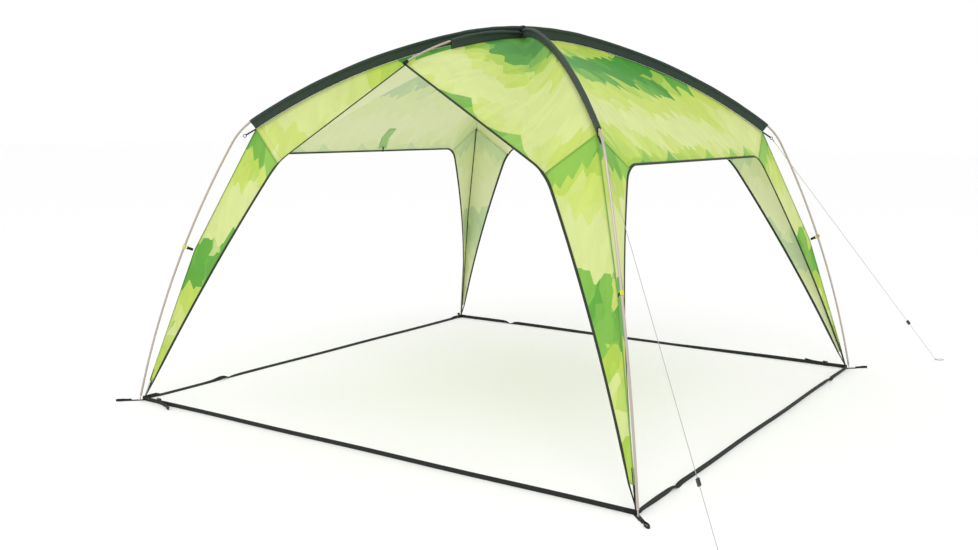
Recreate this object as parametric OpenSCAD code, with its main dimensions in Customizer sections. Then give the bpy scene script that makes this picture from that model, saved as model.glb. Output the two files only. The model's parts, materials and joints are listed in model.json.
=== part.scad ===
// Square tarp shelter: two arched diagonal poles, a ridge pole, a printed canopy with four
// tapering legs, webbing at its foot and two guy-lines. Millimetres, +Z up, origin on the
// ground under the crown. Gable openings face front (-Y) and rear (+Y), level ones left and right.

/* [Shelter] */
// Side of the square footprint, from corner to corner
side = 3300; // [3000:50:3600]
// Height of the upper diagonal pole at the crown
crown_z = 2257; // [2200:1:2320]
// Drop from one crossing pole to the next at the crown
crown_step = 17; // [16:1:20]

/* [Diagonal poles] */
// Outside diameter of every pole
pole_d = 13; // [11:0.5:14]
// Wall thickness of the pole tubes
pole_wall = 1.2; // [0.8:0.1:1.6]
// Radius of the arch next to the crown
crown_r = 1800; // [1700:50:1900]
// Slope at which the crown arc ends
crown_a = 12; // [11:0.5:13]
// Radius of the arch over the roof
roof_r = 3600; // [3500:50:3700]
// Slope at which the roof arc ends
roof_a = 34; // [33:0.5:35]
// Radius of the pre-bent elbow
elbow_r = 400; // [350:10:450]
// Slope at which the elbow ends
elbow_a = 61; // [60:0.5:62]
// How far the pole's foot stands outside the corner
foot_out = 17; // [14:1:22]

/* [Ridge pole] */
// Radius of the ridge pole's curve
ridge_r = 3000; // [2900:50:3200]
// Half the length of the ridge pole, along the ground
ridge_half = 1162; // [1120:1:1190]
// Where the ridge sleeve ends, from the crown
ridge_sleeve_end = 759; // [700:1:800]

/* [Canopy] */
// Thickness of the cloth
cloth = 3; // [2:0.5:4]
// Distance of the seam below the diagonal pole
seam_drop = 52; // [48:1:60]
// Half the width of a gable opening at its knees
gable_knee = 905; // [880:5:930]
// Height of a gable opening's knees
gable_knee_z = 1440; // [1420:5:1460]
// Half the width of a level opening at its knees
level_knee = 925; // [900:5:945]
// Height of a level opening
level_z = 1475; // [1460:5:1490]
// How much the walls lean inwards, per unit of height
lean = 0.3; // [0.29:0.005:0.31]
// Inward cut of the leg edges beside a gable
gable_bow = 35; // [20:5:45]
// Inward cut of the leg edges beside a level opening
level_bow = 80; // [60:5:90]
// Height at which the cloth of a leg ends
leg_end_z = 120; // [110:5:150]
// Height of the clip on each leg
clip_z = 930; // [900:5:960]

/* [Webbing] */
// Width of the base webbing, which stands on edge
web_w = 25; // [20:1:30]
// Thickness of the webbing
web_t = 2; // [1.5:0.5:2.5]
// Length of a stake loop
loop_l = 92; // [80:2:110]
// Distance of a strap buckle from its corner
buckle_at = 135; // [120:5:160]

/* [Guy-lines] */
// Diameter of the guy-line
line_d = 3; // [2.5:0.5:4]
// Distance of each slider from the foot of its guy-line
slider_up = 320; // [200:10:600]

/* [Hidden] */
$fn = 48;

// Compass angle of each corner: front left, front right, rear right, rear left
FL = 225;
FR = -45;
RR = 45;
RL = 135;
corners = [FL, FR, RR, RL];
half = side / 2;
corner_s = half * sqrt(2);
foot_s = corner_s + foot_out;
lower_crown_z = crown_z - crown_step;
ridge_z = lower_crown_z - crown_step;
pole_r = pole_d / 2;
bore_r = pole_r - pole_wall;
ferrule_gap = 0.1;
ferrule_r = bore_r - ferrule_gap;
tip_l = 38;
pin_r = 3;
pin_z = 1.2;
sleeve_a = 37;
sleeve_bore = pole_r + 2;
sleeve_skin = 1.5;
gap = 0.5;
dark = [0.2, 0.25, 0.21];
metal = [0.72, 0.7, 0.66];
roof_green = [0.76, 0.84, 0.44];
leg_green = [0.45, 0.68, 0.36];
clip_green = [0.72, 0.8, 0.1];
cord_grey = [0.7, 0.7, 0.7];

// A diagonal arch as [distance from the centre, height], by the slope of its tangent.
// Each arc starts where the last one ends; the leg's arc closes on the foot.
function arc_step(r, a0, a1) = r * [sin(a1) - sin(a0), cos(a1) - cos(a0)];
function elbow_end(top) = [0, top] + arc_step(crown_r, 0, crown_a)
    + arc_step(roof_r, crown_a, roof_a) + arc_step(elbow_r, roof_a, elbow_a);
function leg_end_a(top) = let (e = elbow_end(top)) 2 * atan2(e[1] - pin_z, foot_s - e[0]) - elbow_a;
function leg_r(top) = (elbow_end(top)[1] - pin_z) / (cos(elbow_a) - cos(leg_end_a(top)));
function arch(top, a) =
    a <= crown_a ? [0, top] + arc_step(crown_r, 0, a)
    : a <= roof_a ? arch(top, crown_a) + arc_step(roof_r, crown_a, a)
    : a <= elbow_a ? arch(top, roof_a) + arc_step(elbow_r, roof_a, a)
    : elbow_end(top) + arc_step(leg_r(top), elbow_a, a);
// Slope of the leg's arc at a given height
function leg_slope(top, z) = acos(cos(elbow_a) - (elbow_end(top)[1] - z) / leg_r(top));
function top_of(corner) = (corner == FL || corner == RR) ? crown_z : lower_crown_z;
// Slope at which the leg's tube ends and its tip begins
function tube_end_a(top) = leg_end_a(top) - tip_l / leg_r(top) * 180 / PI;

// The roof seam under the diagonal poles, shared by both diagonals
crown_extra = 14;
function seam(a) = let (w = seam_drop + crown_extra * pow(1 - a / sleeve_a, 2))
    arch(crown_z, a) - w * [sin(a), cos(a)];
// The seam down a leg: from the roof to the tab at the clip, and on to the foot
leg_top = seam(sleeve_a);
clip_to_seam = 58;
leg_tab = [arch(crown_z, leg_slope(crown_z, clip_z))[0] - clip_to_seam, clip_z - 20];
leg_foot = [corner_s - 10, web_w + 3];
function mix(p, q, t) = p * (1 - t) + q * t;
function leg_seam_at(z) = z > leg_tab[1]
    ? mix(leg_tab, leg_top, (z - leg_tab[1]) / (leg_top[1] - leg_tab[1]))
    : mix(leg_foot, leg_tab, (z - leg_foot[1]) / (leg_tab[1] - leg_foot[1]));
function wall_at(z) = half - lean * z;
// Half the width of an opening at height z, beside a leg
foot_clear = 10;
function trim_at(z, knee, knee_z, bow) = let (t = (knee_z - z) / knee_z)
    mix(knee, half - foot_clear, t) + bow * 4 * t * (1 - t);

// The ridge seam, as [distance from the crown, height]
function ridge_pole_z(y) = ridge_z - ridge_r + sqrt(ridge_r * ridge_r - y * y);
ridge_drop = 30;
ridge_rise = 18;
function ridge_seam_z(y) = let (t = y / ridge_half)
    ridge_pole_z(y) - ridge_drop + ridge_rise * t - ridge_drop * sin(180 * t);

function spin(p, az) = [p[0] * cos(az) - p[1] * sin(az), p[0] * sin(az) + p[1] * cos(az), p[2]];
// A point of a corner seam, in a frame whose X points out of the opening beside it
function diagonal(p, side_gap) = [p[0] / sqrt(2), p[0] / sqrt(2) - side_gap, p[1]];

// Closed solid between two grids of points with the same rows and columns
module sheet(top, bottom) {
    rows = len(top);
    cols = len(top[0]);
    n = rows * cols;
    function at(i, j) = i * cols + j;
    quads = [
        for (i = [0:rows - 2], j = [0:cols - 2])
            [at(i, j), at(i + 1, j), at(i + 1, j + 1), at(i, j + 1)],
        for (i = [0:rows - 2], j = [0:cols - 2])
            [n + at(i, j), n + at(i, j + 1), n + at(i + 1, j + 1), n + at(i + 1, j)],
        for (i = [0:rows - 2])
            [at(i, 0), n + at(i, 0), n + at(i + 1, 0), at(i + 1, 0)],
        for (i = [0:rows - 2], j = [cols - 1])
            [at(i, j), at(i + 1, j), n + at(i + 1, j), n + at(i, j)],
        for (j = [0:cols - 2])
            [at(0, j), at(0, j + 1), n + at(0, j + 1), n + at(0, j)],
        for (j = [0:cols - 2], i = [rows - 1])
            [at(i, j), n + at(i, j), n + at(i, j + 1), at(i, j + 1)]
    ];
    polyhedron([for (r = top) each r, for (r = bottom) each r], triangles_of(quads));
}
function triangles_of(quads) = [for (q = quads) each [[q[0], q[1], q[2]], [q[0], q[2], q[3]]]];

// Closed tube through rings of points, all with the same count
module swept(rings) {
    n = len(rings[0]);
    last = len(rings) - 1;
    function at(i, j) = i * n + j % n;
    quads = [for (i = [0:last - 1], j = [0:n - 1])
        [at(i, j), at(i, j + 1), at(i + 1, j + 1), at(i + 1, j)]];
    caps = [for (j = [1:n - 2]) each [[at(0, 0), at(0, j + 1), at(0, j)],
        [at(last, 0), at(last, j), at(last, j + 1)]]];
    polyhedron([for (r = rings) each r], concat(triangles_of(quads), caps));
}

// Hollow tube: outer rings round inner ones, all with the same count
module swept_hollow(outer, inner) {
    n = len(outer[0]);
    m = len(outer);
    function at(i, j) = i * n + j % n;
    quads = [
        for (i = [0:m - 2], j = [0:n - 1])
            [at(i, j), at(i, j + 1), at(i + 1, j + 1), at(i + 1, j)],
        for (i = [0:m - 2], j = [0:n - 1])
            [m * n + at(i, j), m * n + at(i + 1, j), m * n + at(i + 1, j + 1), m * n + at(i, j + 1)],
        for (j = [0:n - 1]) [at(0, j), m * n + at(0, j), m * n + at(0, j + 1), at(0, j + 1)],
        for (j = [0:n - 1]) [at(m - 1, j), at(m - 1, j + 1), m * n + at(m - 1, j + 1), m * n + at(m - 1, j)]
    ];
    polyhedron([for (r = outer) each r, for (r = inner) each r], triangles_of(quads));
}

// Places children on a diagonal: local X outwards, Z up
module on_diagonal(corner) {
    rotate([0, 0, corner]) children();
}

// Part of an arc in the X-Z plane, from slope a0 to a1, round a given centre
module arc_bar(centre, r, a0, a1, outer_r, inner_r) {
    translate([centre[0], 0, centre[1]])
        rotate([90, 0, 0])
            rotate([0, 0, 90 - a1])
                rotate_extrude(angle = a1 - a0, $fn = 360)
                    translate([r, 0])
                        difference() {
                            circle(r = outer_r, $fn = 32);
                            if (inner_r > 0)
                                circle(r = inner_r, $fn = 32);
                        }
}
function centre_of(top, a, r) = arch(top, a) - r * [sin(a), cos(a)];

// A stretch of a diagonal arch between two slopes that lie on one of its arcs, a little
// short at each end, so that neighbouring sections meet without merging
joint_gap = 0.15;
module arch_bar(top, a0, a1, outer_r, inner_r) {
    mid = (a0 + a1) / 2;
    r = abs(mid) < crown_a ? crown_r : mid < roof_a ? roof_r : mid < elbow_a ? elbow_r : leg_r(top);
    centre = abs(mid) < crown_a ? [0, top - crown_r] : centre_of(top, mid, r);
    short = joint_gap / r * 180 / PI;
    arc_bar(centre, r, a0 + short, a1 - short, outer_r, inner_r);
}

// The sections over the roof: one across the crown, two on each side of it
roof_split_a = 23;
module roof_poles(corner) {
    top = top_of(corner);
    color(metal) {
        on_diagonal(corner)
            arch_bar(top, -crown_a, crown_a, pole_r, bore_r);
        for (turn = [0, 180])
            on_diagonal(corner + turn) {
                arch_bar(top, crown_a, roof_split_a, pole_r, bore_r);
                arch_bar(top, roof_split_a, roof_a, pole_r, bore_r);
            }
    }
}

// The leg's pre-bent elbow and its two lower sections
leg_split_a = 68;
module leg_pole(corner) {
    top = top_of(corner);
    color(metal)
        on_diagonal(corner) {
            arch_bar(top, roof_a, elbow_a, pole_r, bore_r);
            arch_bar(top, elbow_a, leg_split_a, pole_r, bore_r);
            arch_bar(top, leg_split_a, tube_end_a(top), pole_r, bore_r);
        }
}

// Slope of the ridge pole at its ends, and where its three sections meet
ridge_a = asin(ridge_half / ridge_r);
ridge_split_a = 7;
ridge_centre = [0, ridge_z - ridge_r];
module ridge_pole() {
    cuts = [-ridge_a, -ridge_split_a, ridge_split_a, ridge_a];
    short = joint_gap / ridge_r * 180 / PI;
    color(metal)
        rotate([0, 0, 90])
            for (i = [0:2])
                arc_bar(ridge_centre, ridge_r, cuts[i] + short, cuts[i + 1] - short, pole_r, bore_r);
}

// Tube inserts inside the joints; the cord runs through them. Those at the crown are short,
// and bend midway between the two arcs that they join.
ferrule_half = 40;
short_ferrule_half = 26;
crown_ferrule_r = 2 * crown_r * roof_r / (crown_r + roof_r);
cord_r = 1.5;
module ferrule(top, a, r, half_l = ferrule_half) {
    da = half_l / r * 180 / PI;
    arc_bar(centre_of(top, a, r), r, a - da, a + da, ferrule_r, cord_r + 2);
}
module pole_ferrules() {
    color("silver") {
        for (corner = corners)
            on_diagonal(corner) {
                top = top_of(corner);
                ferrule(top, crown_a, crown_ferrule_r, short_ferrule_half);
                ferrule(top, roof_split_a, roof_r);
                ferrule(top, leg_split_a, leg_r(top));
            }
        da = ferrule_half / ridge_r * 180 / PI;
        for (turn = [90, -90])
            rotate([0, 0, turn])
                arc_bar(ridge_centre, ridge_r, ridge_split_a - da, ridge_split_a + da, ferrule_r, cord_r + 2);
    }
}

// The elastic cord inside each pole
cord_end_gap = 0.3;
module shock_cords() {
    color("dimgray") {
        for (corner = corners)
            on_diagonal(corner) {
                top = top_of(corner);
                stops = [crown_a, roof_a, elbow_a, tube_end_a(top) - cord_end_gap];
                for (i = [0:2])
                    arch_bar(top, stops[i], stops[i + 1], cord_r, 0);
            }
        for (corner = [RR, FR])
            on_diagonal(corner)
                arch_bar(top_of(corner), -crown_a, crown_a, cord_r, 0);
        rotate([0, 0, 90])
            arc_bar(ridge_centre, ridge_r, cord_end_gap - ridge_a, ridge_a - cord_end_gap, cord_r, 0);
    }
}

// Foot of each diagonal pole: a collar on the tube and a pin through the corner's grommet
module pole_tips() {
    collar_l = 9;
    color("silver")
        for (corner = corners)
            on_diagonal(corner) {
                top = top_of(corner);
                a = leg_end_a(top);
                end = arch(top, a);
                translate([end[0], 0, end[1]])
                    rotate([0, -(90 - a), 0]) {
                        cylinder(h = tip_l - gap, r = pin_r);
                        translate([0, 0, tip_l - gap - collar_l])
                            cylinder(h = collar_l, r = pole_r);
                    }
            }
}

// Rounded plugs on the ridge pole's two ends
plug_l = 10;
module ridge_pole_tips() {
    color("silver")
        for (turn = [90, -90])
            rotate([0, 0, turn])
                translate([ridge_half, 0, ridge_pole_z(ridge_half)])
                    rotate([0, 90 + ridge_a, 0])
                        translate([0, 0, 0.3])
                            cylinder(h = plug_l, r = pole_r);
}

// Roof panels: each is spread between its bounding seams. The parameter v runs from the
// crown to the edge, u across. The outer edge passes the knees of the opening.
crown_hole = 0.015;
panel_rows = 10;
function slope_at(s) = s <= crown_r * sin(crown_a) ? asin(s / crown_r)
    : let (past = asin(sin(crown_a) + (s - crown_r * sin(crown_a)) / roof_r))
        past <= roof_a ? past
        : asin(sin(roof_a) + (s - arch(crown_z, roof_a)[0]) / elbow_r);
function diag_point(v, side_gap) = diagonal(seam(slope_at(v * arch(crown_z, sleeve_a)[0])), side_gap);
function ridge_point(v) = [ridge_half * v, 0, ridge_seam_z(ridge_half * v)];
// Outer edges, in a frame whose X points out of the opening
gable_apex = ridge_point(1);
gable_corner = [wall_at(gable_knee_z), gable_knee, gable_knee_z];
level_corner = [wall_at(level_z), level_knee, level_z];
gable_edge_cols = [0, 0.15, 0.3, 0.45, 0.6, 0.75, 0.9, 1];
gable_knee_u = 0.75;
function gable_edge(u, end) = u <= gable_knee_u
    ? mix(gable_apex, gable_corner, u / gable_knee_u)
    : mix(gable_corner, end, (u - gable_knee_u) / (1 - gable_knee_u));
function gable_at(u, v) = let (d1 = diag_point(1, gap), d = diag_point(v, gap))
    mix(ridge_point(v), d, u) + v * (gable_edge(u, d1) - mix(gable_apex, d1, u));
level_cols = [-1, -0.87, -0.74, -0.5, -0.25, 0, 0.25, 0.5, 0.74, 0.87, 1];
level_knee_u = 0.74;
function level_edge(u, end) = abs(u) <= level_knee_u
    ? [level_corner[0], level_corner[1] * u / level_knee_u, level_corner[2]]
    : let (t = (abs(u) - level_knee_u) / (1 - level_knee_u), p = mix(level_corner, end, t))
        [p[0], p[1] * sign(u), p[2]];
function level_at(u, v) = let (d1 = diag_point(1, gap), d = diag_point(v, gap), h = (1 + u) / 2)
    mix([d[0], -d[1], d[2]], d, h) + v * (level_edge(u, d1) - mix([d1[0], -d1[1], d1[2]], d1, h));
function down(grid, t) = [for (r = grid) [for (p = r) p - [0, 0, t]]];
function v_steps() = [for (i = [0:panel_rows]) crown_hole + (1 - crown_hole) * i / panel_rows];

module gable_panel(az) {
    right = [for (v = v_steps()) [for (u = gable_edge_cols) spin(gable_at(u, v), az)]];
    left = [for (v = v_steps()) [for (i = [len(gable_edge_cols) - 1:-1:1])
        let (p = gable_at(gable_edge_cols[i], v)) spin([p[0], -p[1], p[2]], az)]];
    grid = [for (i = [0:panel_rows]) concat(left[i], right[i])];
    color(roof_green)
        sheet(grid, down(grid, cloth));
}
module level_panel(az) {
    grid = [for (v = v_steps()) [for (u = level_cols) spin(level_at(u, v), az)]];
    color(roof_green)
        sheet(grid, down(grid, cloth));
}

// A leg: two long tapering panels that meet at the corner seam
leg_rows = 10;
leg_cols = [0, 0.5, 1];
function leg_row(t, knee, knee_z, bow, t_in) = let (
        seam_z = mix(leg_top[1] - cloth - gap, leg_end_z, t),
        trim_z = mix(knee_z - cloth - gap, leg_end_z, t),
        a = diagonal([leg_seam_at(seam_z)[0], seam_z], gap) - [t_in, t_in, 0],
        b = [wall_at(trim_z) - t_in, trim_at(trim_z, knee, knee_z, bow), trim_z])
    [for (c = leg_cols) mix(a, b, c)];
// One panel in the frame of an opening that faces az; far picks the leg at the far end of it.
// The cloth's inner face is mitred along the corner seam.
module leg_panel(az, far, knee, knee_z, bow) {
    face = function (t_in) [for (i = [0:leg_rows])
        let (r = leg_row(i / leg_rows, knee, knee_z, bow, t_in))
            far ? [for (j = [len(r) - 1:-1:0]) spin(r[j], az)]
            : [for (p = r) spin([p[0], -p[1], p[2]], az)]];
    sheet(face(0), face(cloth));
}
module leg_panels(corner, gable_az, gable_far, level_az) {
    color(leg_green) {
        leg_panel(gable_az, gable_far, gable_knee, gable_knee_z, gable_bow);
        leg_panel(level_az, !gable_far, level_knee, level_z, level_bow);
    }
}

// Sleeve round a pole with a web down to the roof seam. The outline runs round the pole
// and down the web; the bore follows it, point for point.
ring_angles = [for (i = [0:9]) 290 + i * 320 / 9 - 360];
function sleeve_outer(web) = concat(
    [for (q = ring_angles) (sleeve_bore + sleeve_skin) * [cos(q), sin(q)]],
    [[-sleeve_skin, -web], [sleeve_skin, -web]]);
function sleeve_inner() = concat([for (q = ring_angles) sleeve_bore * [cos(q), sin(q)]],
    [sleeve_bore * [cos(260), sin(260)], sleeve_bore * [cos(280), sin(280)]]);
// A section in the plane across a pole: p is sideways and along the outward normal
function across(point, a, p) = [point[0] + p[1] * sin(a), p[0], point[1] + p[1] * cos(a)];
sleeve_steps = [1.5, 4, 7, 10, 13, 16, 19, 22, 25, 28, 31, 34, 35.5, 37];
module pole_sleeve(corner) {
    top = top_of(corner);
    place = function (a, p) spin(across(arch(top, a), a, p), corner);
    // Depth of the web, down to just above the seam
    web = function (a) (arch(top, a) - seam(a)) * [sin(a), cos(a)] - 3;
    outer = [for (a = sleeve_steps) [for (p = sleeve_outer(web(a))) place(a, p)]];
    inner = [for (a = sleeve_steps) [for (p = sleeve_inner()) place(a, p)]];
    color(dark)
        swept_hollow(outer, inner);
}
ridge_sleeve_start = 48;
ridge_sleeve_rings = 7;
module ridge_sleeve(az) {
    ys = [for (i = [0:ridge_sleeve_rings])
        ridge_sleeve_start + (ridge_sleeve_end - ridge_sleeve_start) * i / ridge_sleeve_rings];
    place = function (y, p) spin(across([y, ridge_pole_z(y)], asin(y / ridge_r), p), az);
    web = function (y) ridge_pole_z(y) - ridge_seam_z(y) - 3;
    outer = [for (y = ys) [for (p = sleeve_outer(web(y))) place(y, p)]];
    inner = [for (y = ys) [for (p = sleeve_inner()) place(y, p)]];
    color(dark)
        swept_hollow(outer, inner);
}

// Bound edges: a narrow bar just outside the edge of the cloth, leg to leg
bind_w = 8;
bind_t = 4;
function unit(v) = v / norm(v);
// Rings of a flat bar along a route; it lies outside the route on the side of `out`
function bar_rings(route, outs) = [for (i = [0:len(route) - 1])
    let (a = route[max(i - 1, 0)], b = route[min(i + 1, len(route) - 1)], t = unit(b - a),
        o = unit(outs[i] - (outs[i] * t) * t), n = cross(t, o), p = route[i] + o * (bind_w / 2 + gap + 0.4))
    [p + o * bind_w / 2 + n * bind_t / 2, p - o * bind_w / 2 + n * bind_t / 2,
        p - o * bind_w / 2 - n * bind_t / 2, p + o * bind_w / 2 - n * bind_t / 2]];
function leg_trim(knee, knee_z, bow, t) = let (z = mix(leg_end_z, knee_z - 30, t))
    [wall_at(z), trim_at(z, knee, knee_z, bow), z];
bind_rows = 9;
module binding(az, knee, knee_z, bow, across_points) {
    leg = [for (i = [0:bind_rows]) leg_trim(knee, knee_z, bow, i / bind_rows)];
    half_route = concat(leg, across_points);
    n = len(half_route);
    mirrored = [for (i = [n - 2:-1:0]) [half_route[i][0], -half_route[i][1], half_route[i][2]]];
    route = concat(half_route, mirrored);
    // Away from the cloth: sideways on the legs, down along the top
    outs = [for (i = [0:len(route) - 1])
        i < bind_rows ? [0, -1, 0] : i > len(route) - 1 - bind_rows ? [0, 1, 0]
        : i == bind_rows ? [0, -1, -0.6] : i == len(route) - 1 - bind_rows ? [0, 1, -0.6] : [0, 0, -1]];
    place = function (p) spin(p, az);
    color(dark)
        swept([for (r = bar_rings(route, outs)) [for (p = r) place(p)]]);
}
module gable_binding(az) {
    below = [0, 0, -cloth];
    binding(az, gable_knee, gable_knee_z, gable_bow,
        [for (u = [0.95, 0.75, 0.5, 0.25, 0]) mix(gable_apex, gable_corner, u) + below]);
}
module level_binding(az) {
    binding(az, level_knee, level_z, level_bow,
        [for (u = [0.95, 0.7, 0.35, 0]) [level_corner[0], level_knee * u, level_z - cloth]]);
}

// Webbing round the three poles where they cross
module crown_tie() {
    inner_w = 30;
    strip = 2.5;
    width = 6;
    low = seam(0)[1] + 2;
    high = crown_z + pole_r + 1;
    color("black")
        translate([0, width / 2, 0])
            rotate([90, 0, 0])
                linear_extrude(width)
                    difference() {
                        translate([-inner_w / 2 - strip, low])
                            square([inner_w + 2 * strip, high - low + strip]);
                        translate([-inner_w / 2, low + strip])
                            square([inner_w, high - low - strip]);
                    }
}

// Webbing cups at the gable tips, which hold the ridge pole's ends
module ridge_pockets() {
    cup_l = 30;
    cup_r = pole_r + 3.5;
    bore = pole_r + 0.5;
    floor_t = 3;
    color("black")
        for (turn = [90, -90])
            rotate([0, 0, turn])
                translate([ridge_half, 0, ridge_pole_z(ridge_half)])
                    rotate([0, 90 + ridge_a, 0])
                        translate([0, 0, plug_l + 0.8 + floor_t - cup_l])
                            difference() {
                                cylinder(h = cup_l, r = cup_r);
                                translate([0, 0, -1])
                                    cylinder(h = cup_l - floor_t + 1, r = bore);
                            }
}

// Clip on each leg: a side-opening hook on the pole and a bar that the webbing tab holds
hook_gap = 0.8;
hook_wall = 3.2;
hook_lip = 1.5;
hook_l = 22;
bar_out = 21;
bar_r = 2.5;
ear_t = 2.5;
tab_w = 16;
// Places children at the clip: X outwards across the pole, Z up along it
module at_clip(corner) {
    top = top_of(corner);
    a = leg_slope(top, clip_z);
    p = arch(top, a);
    rotate([0, 0, corner])
        translate([p[0], 0, p[1]])
            rotate([0, -(90 - a), 0])
                children();
}
module leg_clip(corner) {
    inner = pole_r + hook_gap;
    outer = inner + hook_wall;
    color(clip_green)
        at_clip(corner) {
            // Hook, open towards -Y: it closes round the outside of the pole
            translate([0, 0, -hook_l / 2])
                linear_extrude(hook_l)
                    difference() {
                        union() {
                            circle(r = outer);
                            translate([inner, -outer])
                                square([hook_wall, outer]);
                        }
                        circle(r = inner);
                        translate([-outer - 1, -outer - 1])
                            square([outer + 1 + inner, outer - hook_lip + 1]);
                    }
            // Ears out to the bar
            for (z = [-hook_l / 2, hook_l / 2 - ear_t])
                translate([-bar_out - bar_r - 1.5, -4, z])
                    cube([bar_out + bar_r + 1.5 - outer + 0.6, 8, ear_t]);
            translate([-bar_out, 0, -hook_l / 2])
                cylinder(h = hook_l, r = bar_r);
        }
}

// Webbing tab from the leg's corner seam, looped round the clip's bar
loop_gap = 0.08;
module leg_tabs() {
    loop_r = bar_r + loop_gap;
    outer = loop_r + web_t;
    reach = clip_to_seam - bar_out - outer - 5;
    color("black")
        for (corner = corners)
            at_clip(corner)
                translate([-bar_out, 0, -tab_w / 2])
                    difference() {
                        union() {
                            cylinder(h = tab_w, r = outer);
                            translate([-outer - reach, -web_t / 2, 0])
                                cube([outer + reach, web_t, tab_w]);
                        }
                        translate([0, 0, -1])
                            cylinder(h = tab_w + 2, r = loop_r);
                    }
}

// Webbing from the end of each leg's cloth down to the corner
module foot_straps() {
    top_end = leg_seam_at(leg_end_z) - [0, 4];
    run = top_end - leg_foot;
    length = norm(run);
    color("black")
        for (corner = corners)
            on_diagonal(corner)
                translate([leg_foot[0], 0, leg_foot[1]])
                    rotate([0, -atan2(-run[0], run[1]), 0])
                        translate([-web_t / 2, -10, 0])
                            cube([web_t, 20, length]);
}

// Corner webbing: two upright pieces that the base straps are sewn to, and a flat tongue
corner_reach = 50;
tongue_end = corner_s + 64;
tongue_z = 2.4;
eye_r = 6.2;
pin_s = foot_s;
module corner_tab(corner) {
    color("black") {
        for (turn = [135, -135])
            on_diagonal(corner)
                translate([corner_s, 0, 0])
                    rotate([0, 0, turn])
                        translate([0, -web_t / 2, 0])
                            cube([corner_reach - gap, web_t, web_w]);
        on_diagonal(corner)
            difference() {
                translate([corner_s - 12, -web_w / 2, 0])
                    cube([tongue_end - corner_s + 12, web_w, tongue_z]);
                translate([pin_s, 0, -1])
                    cylinder(h = tongue_z + 2, r = eye_r);
            }
    }
}

module corner_grommets() {
    color("gray")
        for (corner = corners)
            on_diagonal(corner)
                translate([pin_s, 0, 0])
                    difference() {
                        union() {
                            cylinder(h = tongue_z + 0.1, r = eye_r - 0.1);
                            translate([0, 0, tongue_z + 0.1])
                                cylinder(h = 1.2, r = eye_r + 3.3);
                        }
                        translate([0, 0, -1])
                            cylinder(h = 6, r = 5);
                    }
}

// Loop of webbing for a stake, hinged at the tongue's end and flat on the ground at rest
loop_t = 2.4;
module stake_loop(corner) {
    slot_w = 9;
    color("black")
        on_diagonal(corner)
            translate([tongue_end + gap, 0, 0])
                linear_extrude(loop_t)
                    difference() {
                        union() {
                            translate([0, -web_w / 2 + 2])
                                square([loop_l - web_w / 2 + 2, web_w - 4]);
                            translate([loop_l - web_w / 2 + 2, 0])
                                circle(d = web_w - 4);
                        }
                        translate([30, -slot_w / 2])
                            square([loop_l - 48, slot_w]);
                    }
}

// Base webbing along one side, on edge; az is the side's outward direction
module base_strap(az) {
    length = side - 2 * corner_reach;
    color(dark)
        rotate([0, 0, az])
            translate([half - web_t / 2, -length / 2, 0])
                cube([web_t, length, web_w]);
}

// Ladder-lock buckle round a base strap, with the strap's loose tail
module strap_buckle(az) {
    body_l = 32;
    body_h = 34;
    frame_t = 3.2;
    slot_gap = 0.6;
    tail_l = 150;
    tail_t = 1.8;
    rotate([0, 0, az])
        translate([half, -half + buckle_at, 0])
            color("black") {
                difference() {
                    translate([-web_t / 2 - frame_t, 0, 0.4])
                        cube([web_t + 2 * frame_t, body_l, body_h]);
                    translate([-web_t / 2 - slot_gap, -1, -1])
                        cube([web_t + 2 * slot_gap, body_l + 2, web_w + 2]);
                }
                // Tail, leaving the outer face and falling to the ground
                hull() {
                    translate([web_t / 2 + frame_t, body_l - 8, 4])
                        cube([tail_t, 6, web_w - 5]);
                    translate([26, body_l + tail_l * 0.5, 0.4])
                        cube([tail_t, 4, web_w - 5]);
                }
                hull() {
                    translate([26, body_l + tail_l * 0.5, 0.4])
                        cube([tail_t, 4, web_w - 5]);
                    translate([58, body_l + tail_l, 0.4])
                        cube([tail_t, 3, web_w - 5]);
                }
            }
}

// Rings for the guy-lines, one at the top of each leg
ring_s = 1690;
ring_z = 1587;
ring_r = 9;
ring_wire = 2;
module guy_rings() {
    color("black")
        for (corner = corners)
            on_diagonal(corner)
                translate([ring_s, 0, ring_z])
                    rotate([90, 0, 0])
                        rotate_extrude()
                            translate([ring_r, 0])
                                circle(r = ring_wire, $fn = 24);
}

// Guy-lines: straight from the ring down to the ground, then once round a loop for a stake
guy_route_fr = [[1207, -1205, 1571], [2183, -2024, 52], [2212, -2048, 8], [2220, -2076, 2],
    [2230, -2087, 2], [2243, -2095, 2], [2256, -2097, 2], [2265, -2093, 2], [2267, -2083, 2],
    [2263, -2071, 2], [2253, -2059, 2], [2240, -2052, 2], [2228, -2049, 2]];
guy_route_rr = [[1205, 1207, 1571], [2083, 2253, 52], [2106, 2281, 8], [2134, 2290, 2],
    [2146, 2300, 2], [2153, 2313, 2], [2155, 2325, 2], [2151, 2334, 2], [2142, 2337, 2],
    [2129, 2333, 2], [2118, 2323, 2], [2110, 2310, 2], [2107, 2298, 2]];
line_sides = 8;
straight_rings = 8;
function line_rings(route) = concat(
    [for (i = [0:straight_rings]) mix(route[0], route[1], i / straight_rings)],
    [for (i = [2:len(route) - 1]) route[i]]);
function tube_rings(route, r, n) = [for (i = [0:len(route) - 1])
    let (a = route[max(i - 1, 0)], b = route[min(i + 1, len(route) - 1)], t = unit(b - a),
        e = unit(cross(t, [0.2, 0.1, 1])), f = cross(t, e))
    [for (k = [0:n - 1]) route[i] + r * (cos(360 * k / n) * e + sin(360 * k / n) * f)]];
module guy_line(route) {
    color(cord_grey)
        swept(tube_rings(line_rings(route), line_d / 2, line_sides));
}

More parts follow.
